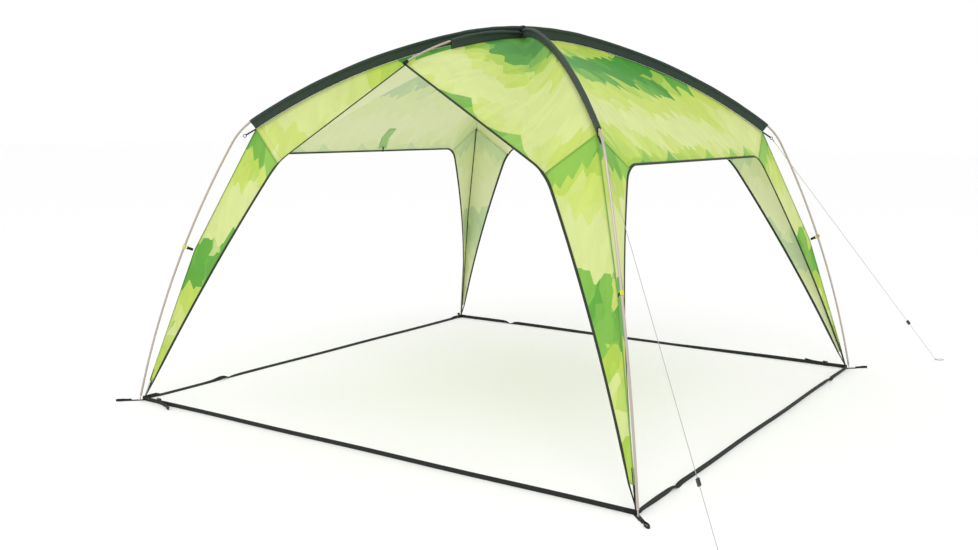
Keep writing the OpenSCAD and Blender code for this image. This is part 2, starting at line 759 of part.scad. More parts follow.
// Slider on a guy-line: a small plate with a hole that the line runs through
module guy_slider(route) {
    size = [18, 10, 32];
    up = unit(route[0] - route[1]);
    color("black")
        translate(route[1] + slider_up * up)
            rotate([0, acos(up[2]), atan2(up[1], up[0])])
                difference() {
                    translate(-size / 2)
                        cube(size);
                    translate([0, 0, -size[2]])
                        cylinder(h = 2 * size[2], r = line_d / 2 + 0.4);
                    translate([-6, size[1], 8])
                        rotate([90, 0, 0])
                            cylinder(h = 2 * size[1], r = 1.8);
                }
}

// Reinforcement under the left roof panel's edge, and the toggle that hangs from it
patch_y = 40;
patch_w = 60;
patch_l = 130;
patch_t = 1.2;
patch_edge = level_at(0, 1);
patch_slope = let (q = level_at(0, 0.9)) atan2(q[2] - patch_edge[2], patch_edge[0] - q[0]);
toggle_l = 34;
toggle_in = 45;
module roof_patch() {
    color(roof_green)
        rotate([0, 0, 180])
            translate([patch_edge[0], -patch_y, patch_edge[2] - cloth - 2])
                rotate([0, patch_slope, 0])
                    translate([-patch_l - 8, -patch_w / 2, -patch_t])
                        cube([patch_l, patch_w, patch_t]);
}
module roof_toggle() {
    hang_z = patch_edge[2] + toggle_in * tan(patch_slope) - 16;
    color("black")
        translate([toggle_in - patch_edge[0], patch_y, hang_z - toggle_l])
            cylinder(h = toggle_l, r = 5);
}

roof_poles(RR);  // roof_poles_fl_rr
roof_poles(FR);  // roof_poles_fr_rl
leg_pole(FL);  // leg_pole_fl
leg_pole(FR);  // leg_pole_fr
leg_pole(RR);  // leg_pole_rr
leg_pole(RL);  // leg_pole_rl
ridge_pole();
pole_ferrules();
pole_tips();
ridge_pole_tips();
shock_cords();
gable_panel(-90);  // roof_panel_front
level_panel(0);  // roof_panel_right
gable_panel(90);  // roof_panel_rear
level_panel(180);  // roof_panel_left
leg_panels(FL, -90, false, 180);  // leg_panels_fl
leg_panels(FR, -90, true, 0);  // leg_panels_fr
leg_panels(RR, 90, false, 0);  // leg_panels_rr
leg_panels(RL, 90, true, 180);  // leg_panels_rl
pole_sleeve(FL);  // pole_sleeve_fl
pole_sleeve(FR);  // pole_sleeve_fr
pole_sleeve(RR);  // pole_sleeve_rr
pole_sleeve(RL);  // pole_sleeve_rl
ridge_sleeve(-90);  // ridge_sleeve_front
ridge_sleeve(90);  // ridge_sleeve_rear
gable_binding(-90);  // edge_binding_front
level_binding(0);  // edge_binding_right
gable_binding(90);  // edge_binding_rear
level_binding(180);  // edge_binding_left
crown_tie();
ridge_pockets();
leg_tabs();
leg_clip(FL);  // leg_clip_fl
leg_clip(FR);  // leg_clip_fr
leg_clip(RR);  // leg_clip_rr
leg_clip(RL);  // leg_clip_rl
foot_straps();
corner_tab(FL);  // corner_tab_fl
corner_tab(FR);  // corner_tab_fr
corner_tab(RR);  // corner_tab_rr
corner_tab(RL);  // corner_tab_rl
corner_grommets();
stake_loop(FL);  // stake_loop_fl
stake_loop(FR);  // stake_loop_fr
stake_loop(RR);  // stake_loop_rr
stake_loop(RL);  // stake_loop_rl
base_strap(-90);  // base_strap_front
base_strap(0);  // base_strap_right
base_strap(90);  // base_strap_rear
base_strap(180);  // base_strap_left
strap_buckle(-90);  // strap_buckle_front
strap_buckle(90);  // strap_buckle_rear
guy_rings();
guy_line(guy_route_fr);  // guy_line_fr
guy_line(guy_route_rr);  // guy_line_rr
guy_slider(guy_route_fr);  // guy_slider_fr
guy_slider(guy_route_rr);  // guy_slider_rr
roof_patch();
roof_toggle();
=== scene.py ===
import json
import math

import bmesh
import bpy
import numpy as np
from mathutils import Matrix, Vector


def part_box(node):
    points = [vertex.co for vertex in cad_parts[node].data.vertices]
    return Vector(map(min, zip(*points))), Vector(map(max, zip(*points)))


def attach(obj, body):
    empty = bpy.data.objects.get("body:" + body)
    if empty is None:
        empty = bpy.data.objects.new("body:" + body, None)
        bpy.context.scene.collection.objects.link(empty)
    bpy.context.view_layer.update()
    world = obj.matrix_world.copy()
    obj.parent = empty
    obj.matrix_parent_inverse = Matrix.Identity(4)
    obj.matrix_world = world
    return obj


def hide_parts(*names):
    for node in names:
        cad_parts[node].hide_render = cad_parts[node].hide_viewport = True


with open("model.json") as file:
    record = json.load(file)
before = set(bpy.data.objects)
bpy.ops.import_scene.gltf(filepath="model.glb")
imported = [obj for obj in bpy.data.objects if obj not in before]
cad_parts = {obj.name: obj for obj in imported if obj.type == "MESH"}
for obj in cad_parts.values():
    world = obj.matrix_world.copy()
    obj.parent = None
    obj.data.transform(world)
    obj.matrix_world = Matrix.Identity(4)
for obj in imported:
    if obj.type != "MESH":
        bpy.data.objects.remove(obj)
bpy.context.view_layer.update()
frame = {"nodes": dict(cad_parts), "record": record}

# ------------------------ the design, in metres
# The arches, seams and openings follow the same rules as the CAD source. Angles are degrees.
CORNERS = {"fl": 225, "fr": -45, "rr": 45, "rl": 135}
WEB_T = 0.002
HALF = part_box("base_strap_right")[1].x - WEB_T / 2
WEB_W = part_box("base_strap_right")[1].z
POLE_R = 0.0065
CROWN_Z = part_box("roof_poles_fl_rr")[1].z - POLE_R
LOW_CROWN_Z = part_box("roof_poles_fr_rl")[1].z - POLE_R
RIDGE_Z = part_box("ridge_pole")[1].z - POLE_R
CROWN_R, CROWN_A = 1.8, 12
ROOF_R, ROOF_A = 3.6, 34
ELBOW_R, ELBOW_A = 0.4, 61
PIN_Z = 0.0012
CORNER_S = HALF * math.sqrt(2)
FOOT_S = CORNER_S + 0.017
RIDGE_R = 3.0
RIDGE_HALF = 1.162
RIDGE_SLEEVE = (0.048, 0.759)
SEAM_DROP, CROWN_EXTRA = 0.052, 0.014
SLEEVE_A = 37
GABLE_KNEE, GABLE_KNEE_Z, GABLE_BOW = 0.905, 1.44, 0.035
LEVEL_KNEE, LEVEL_Z, LEVEL_BOW = 0.925, 1.475, 0.08
LEAN = 0.3
LEG_END_Z = 0.12
KNEE_ROUND = 0.085
# How far across half a panel its knee stands, and how near the crown the cloth starts
GABLE_KNEE_U, LEVEL_KNEE_U = 0.75, 0.74
CROWN_V = 0.004
CLOTH = 0.0012
# Metres that the level panels' print slants along for each metre across
ASKEW = 0.13
BINDING_WIDE, BINDING_THICK = (0.003, 0.008), 0.0034
# The guy rings' distance from the centre
RING_S = 1.69
RING_LOW, RING_HIGH = (corner.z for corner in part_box("guy_rings"))
RING_Z = (RING_LOW + RING_HIGH) / 2
# How far beyond the corner the stake loops are sewn on
TONGUE_L = 0.0645
LINE_D, WRAP_R, WRAP_PITCH = 0.003, 0.0031, 0.0028
PATCH_Y = (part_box("roof_patch")[0].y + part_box("roof_patch")[1].y) / 2
MIRROR = np.array([1, -1, 1])


def sind(a):
    return math.sin(math.radians(a))


def cosd(a):
    return math.cos(math.radians(a))


def mix(p, q, t):
    return p * (1 - t) + q * t


def hump(t):
    return 4 * t * (1 - t)


def clamped(t):
    return min(1.0, max(0.0, t))


def around(count):
    return np.linspace(0, 2 * math.pi, count, endpoint=False)


def arc_step(r, a0, a1):
    return np.array([r * (sind(a1) - sind(a0)), r * (cosd(a1) - cosd(a0))])


def elbow_end(top):
    return (np.array([0, top]) + arc_step(CROWN_R, 0, CROWN_A) + arc_step(ROOF_R, CROWN_A, ROOF_A)
            + arc_step(ELBOW_R, ROOF_A, ELBOW_A))


def leg_end_a(top):
    e = elbow_end(top)
    return 2 * math.degrees(math.atan2(e[1] - PIN_Z, FOOT_S - e[0])) - ELBOW_A


def leg_r(top):
    return (elbow_end(top)[1] - PIN_Z) / (cosd(ELBOW_A) - cosd(leg_end_a(top)))


def arch(top, a):
    """A diagonal pole's centre line as (distance from the centre, height), by its slope."""
    point = np.array([0, top])
    for r, a0, a1 in ((CROWN_R, 0, CROWN_A), (ROOF_R, CROWN_A, ROOF_A), (ELBOW_R, ROOF_A, ELBOW_A),
                      (leg_r(top), ELBOW_A, 90)):
        if a > a0 or a0 == 0:
            point = point + arc_step(r, a0, min(a, a1))
    return point


def slope_at(s):
    """Slope of the upper diagonal pole at a distance from the centre, down to the sleeve's end."""
    crown_s, roof_s = arch(CROWN_Z, CROWN_A)[0], arch(CROWN_Z, ROOF_A)[0]
    if s <= crown_s:
        return math.degrees(math.asin(s / CROWN_R))
    if s <= roof_s:
        return math.degrees(math.asin(sind(CROWN_A) + (s - crown_s) / ROOF_R))
    return math.degrees(math.asin(sind(ROOF_A) + (s - roof_s) / ELBOW_R))


def seam(a):
    """The roof's corner seam, below the pole at that slope."""
    drop = SEAM_DROP + CROWN_EXTRA * (1 - a / SLEEVE_A) ** 2
    return arch(CROWN_Z, a) - drop * np.array([sind(a), cosd(a)])


SLEEVE_END_S = arch(CROWN_Z, SLEEVE_A)[0]
LEG_TOP = seam(SLEEVE_A)
CLIP_Z = 0.93
CLIP_SLOPE = math.degrees(math.acos(cosd(ELBOW_A) - (elbow_end(CROWN_Z)[1] - CLIP_Z) / leg_r(CROWN_Z)))
LEG_TAB = np.array([arch(CROWN_Z, CLIP_SLOPE)[0] - 0.058, CLIP_Z - 0.02])
LEG_FOOT = np.array([CORNER_S - 0.01, WEB_W + 0.003])


def leg_seam_at(z):
    if z > LEG_TAB[1]:
        return mix(LEG_TAB, LEG_TOP, (z - LEG_TAB[1]) / (LEG_TOP[1] - LEG_TAB[1]))
    return mix(LEG_FOOT, LEG_TAB, (z - LEG_FOOT[1]) / (LEG_TAB[1] - LEG_FOOT[1]))


def wall_at(z):
    return HALF - LEAN * z


def ridge_pole_z(y):
    return RIDGE_Z - RIDGE_R + math.sqrt(RIDGE_R**2 - y * y)


def ridge_seam_z(y):
    t = min(y / RIDGE_HALF, 1)
    return ridge_pole_z(y) - 0.03 + 0.018 * t - 0.03 * sind(180 * t)


def diagonal(p):
    """A point of a corner seam, in a frame whose X points out of the opening beside it."""
    return np.array([p[0] / math.sqrt(2), p[0] / math.sqrt(2), p[1]])


def spin(p, az):
    c, s = cosd(az), sind(az)
    return np.array([p[0] * c - p[1] * s, p[0] * s + p[1] * c, p[2]])


def bezier(p0, p1, p2, t):
    return p0 * (1 - t) ** 2 + p1 * 2 * t * (1 - t) + p2 * t * t


class Opening:
    """One side of the shelter, in a frame whose X points out of it. Its bound edge runs up a
    leg, round the knee and along the top; the other half mirrors it."""

    def __init__(self, az, gable):
        self.az, self.gable = az, gable
        self.knee_y, self.knee_z, self.bow, self.knee_u = (
            (GABLE_KNEE, GABLE_KNEE_Z, GABLE_BOW, GABLE_KNEE_U) if gable
            else (LEVEL_KNEE, LEVEL_Z, LEVEL_BOW, LEVEL_KNEE_U))
        self.knee = np.array([wall_at(self.knee_z), self.knee_y, self.knee_z])
        x, z = (RIDGE_HALF, ridge_seam_z(RIDGE_HALF)) if gable else (self.knee[0], self.knee_z)
        self.mid = np.array([x, 0, z])
        self.top_l = np.linalg.norm(self.knee - self.mid)
        self.p_top = mix(self.knee, self.mid, KNEE_ROUND / self.top_l)
        self.p_leg = self.trim_raw(self.knee_z - KNEE_ROUND)

    def trim_raw(self, z):
        t = (self.knee_z - z) / self.knee_z
        return np.array([wall_at(z), mix(self.knee_y, HALF - 0.01, t) + self.bow * hump(t), z])

    def trim(self, z):
        """The edge of a leg, rounded at the knee."""
        q = self.knee_z - z
        if q >= KNEE_ROUND:
            return self.trim_raw(z)
        return bezier(self.p_top, self.knee, self.p_leg, 0.5 + q / KNEE_ROUND / 2)

    def top(self, t):
        """The edge from the middle of the opening, t = 0, to the knee, t = 1, rounded there."""
        q = self.top_l * (1 - t)
        if q >= KNEE_ROUND:
            return mix(self.mid, self.knee, t)
        return bezier(self.p_top, self.knee, self.p_leg, 0.5 - q / KNEE_ROUND / 2)


OPENINGS = {"front": Opening(-90, True), "right": Opening(0, False), "rear": Opening(90, True),
            "left": Opening(180, False)}

# ------------------------ camera and cords
def make_camera():
    """The photograph's viewpoint, solved from the corners of the base webbing."""
    az, el, roll = (math.radians(a) for a in (33.18, 8.39, 0.43))
    back = Vector((math.sin(az) * math.cos(el), -math.cos(az) * math.cos(el), math.sin(el)))
    right = Vector((math.cos(az), math.sin(az), 0))
    up = back.cross(right)
    camera = bpy.data.objects.new("camera", bpy.data.cameras.new("camera"))
    camera.data.sensor_width = 36
    camera.data.lens = 38.2
    camera.data.shift_x = -0.0164
    axes = (right * math.cos(roll) + up * math.sin(roll), up * math.cos(roll) - right * math.sin(roll), back)
    camera.rotation_mode = "QUATERNION"
    camera.rotation_quaternion = Matrix(axes).transposed().to_quaternion()
    camera.location = (3.5145, -5.557, 1.68)
    bpy.context.scene.collection.objects.link(camera)
    bpy.context.scene.camera = camera


def unit(v):
    v = np.asarray(v, float)
    return v / max(np.linalg.norm(v), 1e-12)


def smooth_path(points, steps=6):
    """A Catmull-Rom curve through the points."""
    p = [np.asarray(q, float) for q in points]
    p = [2 * p[0] - p[1]] + p + [2 * p[-1] - p[-2]]
    out = []
    for i in range(1, len(p) - 2):
        for k in range(steps):
            t = k / steps
            out.append(0.5 * (2 * p[i] + (p[i + 1] - p[i - 1]) * t
                              + (2 * p[i - 1] - 5 * p[i] + 4 * p[i + 1] - p[i + 2]) * t * t
                              + (3 * p[i] - p[i - 1] - 3 * p[i + 1] + p[i + 2]) * t**3))
    return np.array(out + [p[-2]])


def tangent_at(path, i):
    return unit(path[min(i + 1, len(path) - 1)] - path[max(i - 1, 0)])


def square_to(v, t):
    """The part of v that is square to the unit vector t, as a unit vector."""
    return unit(v - (v @ t) * t)


def frames_along(path):
    """Tangent, side and normal at each point of a path. The side vector is carried along it."""
    side = np.array([0.2, 0.1, 1.0])
    out = []
    for i in range(len(path)):
        t = tangent_at(path, i)
        side = square_to(side, t)
        out.append((t, side, np.cross(t, side)))
    return out


def lengths_along(path):
    return np.concatenate([[0], np.cumsum(np.linalg.norm(np.diff(path, axis=0), axis=1))])


def add_mesh(name, points, faces, materials, coords, slots=None):
    """A mesh object. coords gives each face corner its cloth coordinates; slots its material."""
    mesh = bpy.data.meshes.new(name)
    mesh.from_pydata([tuple(p) for p in points], [], [tuple(f) for f in faces])
    for material in materials:
        mesh.materials.append(material)
    mesh.polygons.foreach_set("use_smooth", [True] * len(mesh.polygons))
    if slots is not None:
        mesh.polygons.foreach_set("material_index", slots)
    layer = mesh.attributes.new("cloth", "FLOAT_VECTOR", "CORNER")
    layer.data.foreach_set("vector", np.asarray(coords, np.float32).ravel())
    mesh.update()
    piece = bpy.data.objects.new(name, mesh)
    bpy.context.scene.collection.objects.link(piece)
    return piece


def sweep(name, rings, material, capped=True):
    """A tube through rings of points. Its cloth coordinates are the way round and the way along."""
    rings = np.asarray(rings, float)
    m, n = rings.shape[:2]
    along = lengths_along(rings.mean(axis=1))
    girth = lengths_along(np.vstack([rings[m // 2], rings[m // 2][:1]]))
    faces, coords = [], []
    for i in range(m - 1):
        for j in range(n):
            k = (j + 1) % n
            faces.append((i * n + j, i * n + k, (i + 1) * n + k, (i + 1) * n + j))
            coords += [(girth[j], along[i], 0), (girth[j + 1], along[i], 0),
                       (girth[j + 1], along[i + 1], 0), (girth[j], along[i + 1], 0)]
    if capped:
        for i, order in ((0, range(n - 1, -1, -1)), (m - 1, range(n))):
            faces.append(tuple(i * n + j for j in order))
            coords += [(girth[j], along[i], 0) for j in order]
    return add_mesh(name, rings.reshape(-1, 3), faces, [MATERIALS[material]], coords)


def round_rings(path, radius, sides=12):
    """Circles across a path."""
    path = np.asarray(path, float)
    return [[p + radius * (math.cos(q) * b + math.sin(q) * c) for q in around(sides)]
            for p, (_, b, c) in zip(path, frames_along(path))]


def settle(piece, body, slot, *nodes):
    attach(piece, body)
    if nodes:
        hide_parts(*nodes)
    return piece


GUY_ROUTES = {
    "fr": [(1.207, -1.205, 1.571), (2.183, -2.024, 0.052), (2.212, -2.048, 0.008), (2.22, -2.076, 0.002),
           (2.23, -2.087, 0.002), (2.243, -2.095, 0.002), (2.256, -2.097, 0.002), (2.265, -2.093, 0.002),
           (2.267, -2.083, 0.002), (2.263, -2.071, 0.002), (2.253, -2.059, 0.002), (2.24, -2.052, 0.002),
           (2.228, -2.049, 0.002)],
    "rr": [(1.205, 1.207, 1.571), (2.083, 2.253, 0.052), (2.106, 2.281, 0.008), (2.134, 2.29, 0.002),
           (2.146, 2.3, 0.002), (2.153, 2.313, 0.002), (2.155, 2.325, 0.002), (2.151, 2.334, 0.002),
           (2.142, 2.337, 0.002), (2.129, 2.333, 0.002), (2.118, 2.323, 0.002), (2.11, 2.31, 0.002),
           (2.107, 2.298, 0.002)],
}


def guy_path(corner):
    """The line's centreline: straight down, then smoothly round the stake loop."""
    route = [np.array(p) for p in GUY_ROUTES[corner]]
    straight = [mix(route[0], route[1], i / 12) for i in range(12)]
    return np.vstack([straight, smooth_path(route[1:], 4)])


def guy_knot(corner, path):
    """Wraps of cord where the line is tied to its ring, and where its stake loop is closed."""
    name = f"guy_knots_{corner}"
    ring = spin((RING_S, 0, RING_Z), CORNERS[corner])
    top, down = path[0], unit(path[1] - path[0])
    wire = ring + unit(top - ring) * 0.009
    side = unit(np.cross(down, [0, 0, 1]))
    loop = [top, mix(top, wire, 0.5) + side * 0.004, wire + side * 0.0035 - down * 0.001,
            wire - down * 0.0045, wire - side * 0.0035 - down * 0.001, mix(top, wire, 0.5) - side * 0.004,
            top + down * 0.004]
    thin_r = LINE_D / 2 * 0.9
    pieces = [sweep(name, round_rings(smooth_path(loop, 5), thin_r, 10), "guy_cord")]
    # The wraps on the ground are lifted until they rest on it
    low_end = (path[-1], unit(path[-1] - path[-2]), 3, 0.0032)
    for base, heading, turns, lift in ((top, down, 4, 0), low_end):
        _, b, c = frames_along(np.array([base, base + heading]))[0]
        base = base + np.array([0, 0, lift])
        coil = [base + heading * (WRAP_PITCH * q / (2 * math.pi) - 0.002)
                + WRAP_R * (math.cos(q) * b + math.sin(q) * c)
                for q in np.linspace(0, 2 * math.pi * turns, 14 * turns)]
        pieces.append(sweep(name + "_wrap", round_rings(coil, thin_r, 8), "guy_cord"))
    return settle(join(pieces, name), "shelter", "guy_cord")


def join(pieces, name):
    """One object from several, with their materials and cloth coordinates."""
    with bpy.context.temp_override(active_object=pieces[0], selected_editable_objects=pieces):
        bpy.ops.object.join()
    pieces[0].name = name
    return pieces[0]


def guy_line(corner):
    path = guy_path(corner)
    knots = guy_knot(corner, path)
    piece = sweep(f"guy_cord_{corner}", round_rings(path, LINE_D / 2), "guy_cord")
    settle(piece, "shelter", "guy_cord", f"guy_line_{corner}")


# ------------------------ materials
def rgb(r, g, b):
    """A colour given as 0 to 255, in the linear values that shaders take."""
    shares = (r / 255, g / 255, b / 255)
    return (*[c / 12.92 if c <= 0.04045 else ((c + 0.055) / 1.055) ** 2.4 for c in shares], 1)


def toned(colour, gain, lift=0.0):
    """A colour made lighter or darker."""
    return (*[min(1, c * gain + lift) for c in colour[:3]], 1)


MATERIALS = {}


class Shader:
    """A material's node tree, built up one node at a time."""

    def __init__(self, name):
        self.name = name
        self.material = bpy.data.materials.new(name)
        self.material.use_nodes = True
        self.tree = self.material.node_tree
        self.bsdf = self.tree.nodes["Principled BSDF"]

    def node(self, kind, inputs=(), **settings):
        made = self.tree.nodes.new("ShaderNode" + kind)
        for key, value in settings.items():
            setattr(made, key, value)
        for key, value in dict(inputs).items():
            self.plug(made.inputs[key], value)
        return made

    def plug(self, socket, value):
        if isinstance(value, bpy.types.NodeSocket):
            self.tree.links.new(value, socket)
        else:
            socket.default_value = value

    def math(self, operation, a, b=0.0, clamp=False):
        return self.node("Math", {0: a, 1: b}, operation=operation, use_clamp=clamp).outputs[0]

    def add(self, a, b):
        return self.math("ADD", a, b)

    def minus(self, a, b):
        return self.math("SUBTRACT", a, b)

    def times(self, a, b, clamp=False):
        return self.math("MULTIPLY", a, b, clamp)

    def above(self, a, b):
        return self.math("GREATER_THAN", a, b)

    def below(self, a, b):
        return self.math("LESS_THAN", a, b)

    def mixed(self, factor, a, b):
        made = self.node("Mix", {"Factor": factor}, data_type="RGBA")
        self.plug(made.inputs[6], a)
        self.plug(made.inputs[7], b)
        return made.outputs[2]

    def cloth(self):
        """The cloth coordinates: across, along, distance from the hem, in metres."""
        return self.node("Attribute", attribute_name="cloth").outputs["Vector"]

    def position(self):
        return self.node("TexCoord").outputs["Object"]

    def parts(self, vector):
        return self.node("SeparateXYZ", {"Vector": vector}).outputs

    def moved(self, vector, scale=(1, 1, 1), turn=0.0):
        inputs = {"Vector": vector, "Scale": scale, "Rotation": (0, 0, math.radians(turn))}
        return self.node("Mapping", inputs).outputs["Vector"]

    def noise(self, vector, scale, detail=3, rough=0.5):
        inputs = {"Vector": vector, "Scale": scale, "Detail": detail, "Roughness": rough}
        return self.node("TexNoise", inputs).outputs["Fac"]

    def wave(self, vector, scale, distortion=0.0, bands="X"):
        inputs = {"Vector": vector, "Scale": scale, "Distortion": distortion}
        return self.node("TexWave", inputs, bands_direction=bands).outputs["Fac"]

    def ramp(self, factor, stops):
        made = self.node("ValToRGB", {"Fac": factor})
        while len(made.color_ramp.elements) < len(stops):
            made.color_ramp.elements.new(0.5)
        for element, (place, colour) in zip(made.color_ramp.elements, stops):
            element.position = place
            element.color = colour
        return made.outputs["Color"]

    def bump(self, height, distance, strength=1.0, under=None):
        inputs = {"Height": height, "Distance": distance, "Strength": strength}
        if under is not None:
            inputs["Normal"] = under
        return self.node("Bump", inputs).outputs["Normal"]

    def finish(self, colour, rough, metallic=0.0, normal=None, **sockets):
        self.plug(self.bsdf.inputs["Base Color"], colour)
        self.plug(self.bsdf.inputs["Roughness"], rough)
        self.bsdf.inputs["Metallic"].default_value = metallic
        if normal is not None:
            self.plug(self.bsdf.inputs["Normal"], normal)
        for key, value in sockets.items():
            self.bsdf.inputs[key.replace("_", " ")].default_value = value
        MATERIALS[self.name] = self.material


PALE, YELLOW, LIME = rgb(208, 220, 143), rgb(194, 213, 98), rgb(166, 200, 72)
MID, GREEN, DEEP = rgb(130, 186, 74), rgb(96, 166, 60), rgb(68, 146, 48)
# Bands of the print: metres from the crown (or from a leg's top) and the colour there
LEVEL_BANDS = [(0.0, YELLOW), (0.28, YELLOW), (0.38, LIME), (0.41, GREEN), (0.48, DEEP), (0.68, DEEP),
               (0.73, GREEN), (0.75, LIME), (0.86, YELLOW), (0.98, YELLOW), (1.1, PALE), (1.28, PALE),
               (1.36, YELLOW), (1.45, LIME)]
GABLE_BANDS = [(0.0, LIME), (0.1, GREEN), (0.2, DEEP), (0.42, DEEP), (0.5, GREEN), (0.54, MID),
               (0.57, LIME), (0.66, YELLOW), (0.8, PALE), (1.1, PALE), (1.22, YELLOW), (1.3, PALE)]
LEG_BANDS = [(0.0, LIME), (0.2, YELLOW), (0.34, PALE), (0.55, PALE), (0.62, YELLOW), (0.655, LIME),
             (0.665, MID), (0.74, GREEN), (0.81, GREEN), (0.85, MID), (0.96, MID), (0.98, LIME),
             (1.04, YELLOW), (1.14, PALE), (1.28, PALE), (1.36, YELLOW), (1.46, LIME)]


def leaf_cells(s, vector, wide, tall, turn):
    """Leaf-shaped cells: the place along the cloth of each cell's middle, and a random value."""
    inputs = {"Vector": s.moved(vector, (1 / wide, 1 / tall, 0), turn), "Scale": 1.0, "Randomness": 0.9}
    cells = s.node("TexVoronoi", inputs, voronoi_dimensions="2D", distance="MANHATTAN").outputs
    back = (-tall * sind(turn), tall * cosd(turn), 0)
    middle = s.node("VectorMath", {0: cells["Position"], 1: back}, operation="DOT_PRODUCT")
    return middle.outputs["Value"], s.node("SeparateColor", {"Color": cells["Color"]}).outputs[0]


def hem_spikes(s, cloth, spacing, height, slope, first, last, jitter, skew):
    """1 inside the pointed leaves that stand on a panel's border between first and last. Each has
    a sharp point between two lower shoulders."""
    parts = s.parts(cloth)
    place = s.minus(parts["X"], first)
    cell = s.math("FLOOR", s.math("DIVIDE", place, spacing))
    chance = s.node("TexWhiteNoise", {"W": cell}, noise_dimensions="1D").outputs["Value"]
    centre = s.add(s.times(s.add(cell, 0.5), spacing), s.times(s.minus(chance, 0.5), spacing * jitter))
    centre = s.add(centre, s.times(parts["Z"], skew))
    off = s.math("ABSOLUTE", s.minus(place, centre))
    point = s.minus(height, s.times(off, slope))
    shoulder = s.minus(height * 0.62, s.times(off, slope * 0.45))
    shoulder = s.times(shoulder, s.below(off, height * 0.9))
    inside = s.below(parts["Z"], s.math("MAXIMUM", point, shoulder))
    return s.times(s.times(inside, s.below(parts["X"], last)), s.above(parts["X"], first))


def print_material(name, bands, turn, spikes, stitched, inside=False):
    """Coated cloth printed with overlapping leaves, whose colours change in bands. The inside copy is painted
    paler and brighter: painted light standing in for light shining through the cloth.
    """
    s = Shader(name)
    cloth = s.cloth()
    length = bands[-1][0] + 0.1
    stops = [(place / length, colour) for place, colour in bands]
    # Two layers of leaves, each taking its band's colour at its own middle
    layers = []
    for wide, tall, spread in ((0.082, 0.15, 0.07), (0.16, 0.24, 0.13)):
        middle, random = leaf_cells(s, cloth, wide, tall, turn)
        shift = s.times(s.minus(random, 0.5), spread)
        layers.append(s.ramp(s.math("DIVIDE", s.add(middle, shift), length), stops))
    _, veil = leaf_cells(s, cloth, 0.13, 0.2, turn + 9)
    colour = s.mixed(s.times(s.above(veil, 0.75), 0.7), layers[0], layers[1])
    leaf = s.mixed(s.above(veil, 0.45), MID, GREEN)
    colour = s.mixed(s.times(hem_spikes(s, cloth, *spikes), 0.85), colour, leaf)
    # Faint strokes inside the leaves, the hem's stitching, and a little uneven ink
    _, stroke = leaf_cells(s, cloth, 0.03, 0.13, turn - 6)
    shade = s.add(s.times(stroke, 0.06), 0.96)
    hem = s.math("ABSOLUTE", s.minus(s.parts(cloth)["Z"], 0.028))
    shade = s.minus(shade, s.times(s.below(hem, 0.0013), stitched))
    ink = s.noise(s.moved(cloth, (1, 0.35, 1)), 9, 4)
    shade = s.times(shade, s.add(s.times(ink, 0.12), 0.94))
    colour = s.node("HueSaturation", {"Color": colour, "Value": shade}).outputs["Color"]
    # Inside faces: the colour is mixed towards a pale cream, painted light standing in for light shining
    # through the cloth
    if inside:
        colour = s.mixed(0.55, colour, rgb(240, 242, 214))
    weave = s.add(*[s.wave(s.moved(cloth, (1, 1, 0), a), 420.0) for a in (0, 90)])
    crumple = s.noise(s.position(), 14, 5, 0.55)
    normal = s.bump(weave, 0.00006, 0.5, s.bump(crumple, 0.004, 0.35))
    rough = s.add(s.times(s.noise(cloth, 60, 2), 0.16), 0.44)
    s.finish(colour, rough, normal=normal, Specular_IOR_Level=0.25)


def woven_material(name, colour, pitch=0.0016, crease=0.0, tint=0.25):
    """Plain dark cloth with a woven face; crease adds soft lengthwise folds."""
    s = Shader(name)
    cloth = s.cloth()
    weave = s.times(*[s.wave(cloth, 0.32 / pitch, 0.4, bands) for bands in "XY"])
    wear = s.noise(s.position(), 22, 4, 0.6)
    shade = s.mixed(s.times(s.add(weave, wear), 0.6, clamp=True),
                    toned(colour, 1 - tint), toned(colour, 1 + tint, 0.012))
    normal = s.bump(weave, pitch * 0.12, 0.6)
    if crease:
        folds = s.noise(s.moved(cloth, (55, 5, 1)), 1, 4, 0.6)
        normal = s.bump(folds, crease, 0.8, normal)
    s.finish(shade, 0.75, normal=normal, Sheen_Weight=0.05, Specular_IOR_Level=0.3)


def webbing_material(name, colour):
    """Flat webbing: lengthwise ribs crossed by a coarse weave."""
    s = Shader(name)
    cloth = s.cloth()
    weave = s.times(s.wave(cloth, 105.0, 0.6, "X"), s.wave(cloth, 150.0, 1.2, "Y"))
    wear = s.noise(s.position(), 35, 4, 0.6)
    shade = s.mixed(s.times(weave, s.add(wear, 0.3), clamp=True), colour, toned(colour, 1.7, 0.005))
    s.finish(shade, 0.8, normal=s.bump(weave, 0.0004, 0.8), Sheen_Weight=0.05, Specular_IOR_Level=0.3)


def metal_material(name, colour, rough):
    """Drawn and anodised tube: fine lengthwise streaks in the finish, small rubbed spots."""
    s = Shader(name)
    place = s.position()
    streaks = s.noise(s.moved(place, (260, 260, 9)), 1, 3, 0.6)
    worn = s.above(s.noise(place, 45, 4, 0.65), 0.68)
    bright = toned(colour, 1.12, 0.02)
    shade = s.mixed(s.times(streaks, 0.5), colour, bright)
    shade = s.mixed(s.times(worn, 0.4), shade, bright)
    roughness = s.add(s.times(streaks, 0.08), rough)
    s.finish(shade, roughness, 1.0, s.bump(streaks, 0.00004, 0.5), Anisotropic=0.4)


def plastic_material(name, colour, rough):
    """Moulded plastic: a fine spark-eroded grain and slightly uneven gloss."""
    s = Shader(name)
    place = s.position()
    grain = s.noise(place, 1900, 2, 0.6)
    cloud = s.noise(place, 70, 3)
    shade = s.mixed(s.times(cloud, 0.5), colour, toned(colour, 1.15, 0.01))
    roughness = s.add(s.times(cloud, 0.15), rough)
    s.finish(shade, roughness, normal=s.bump(grain, 0.00005, 0.5), Coat_Weight=0.1)


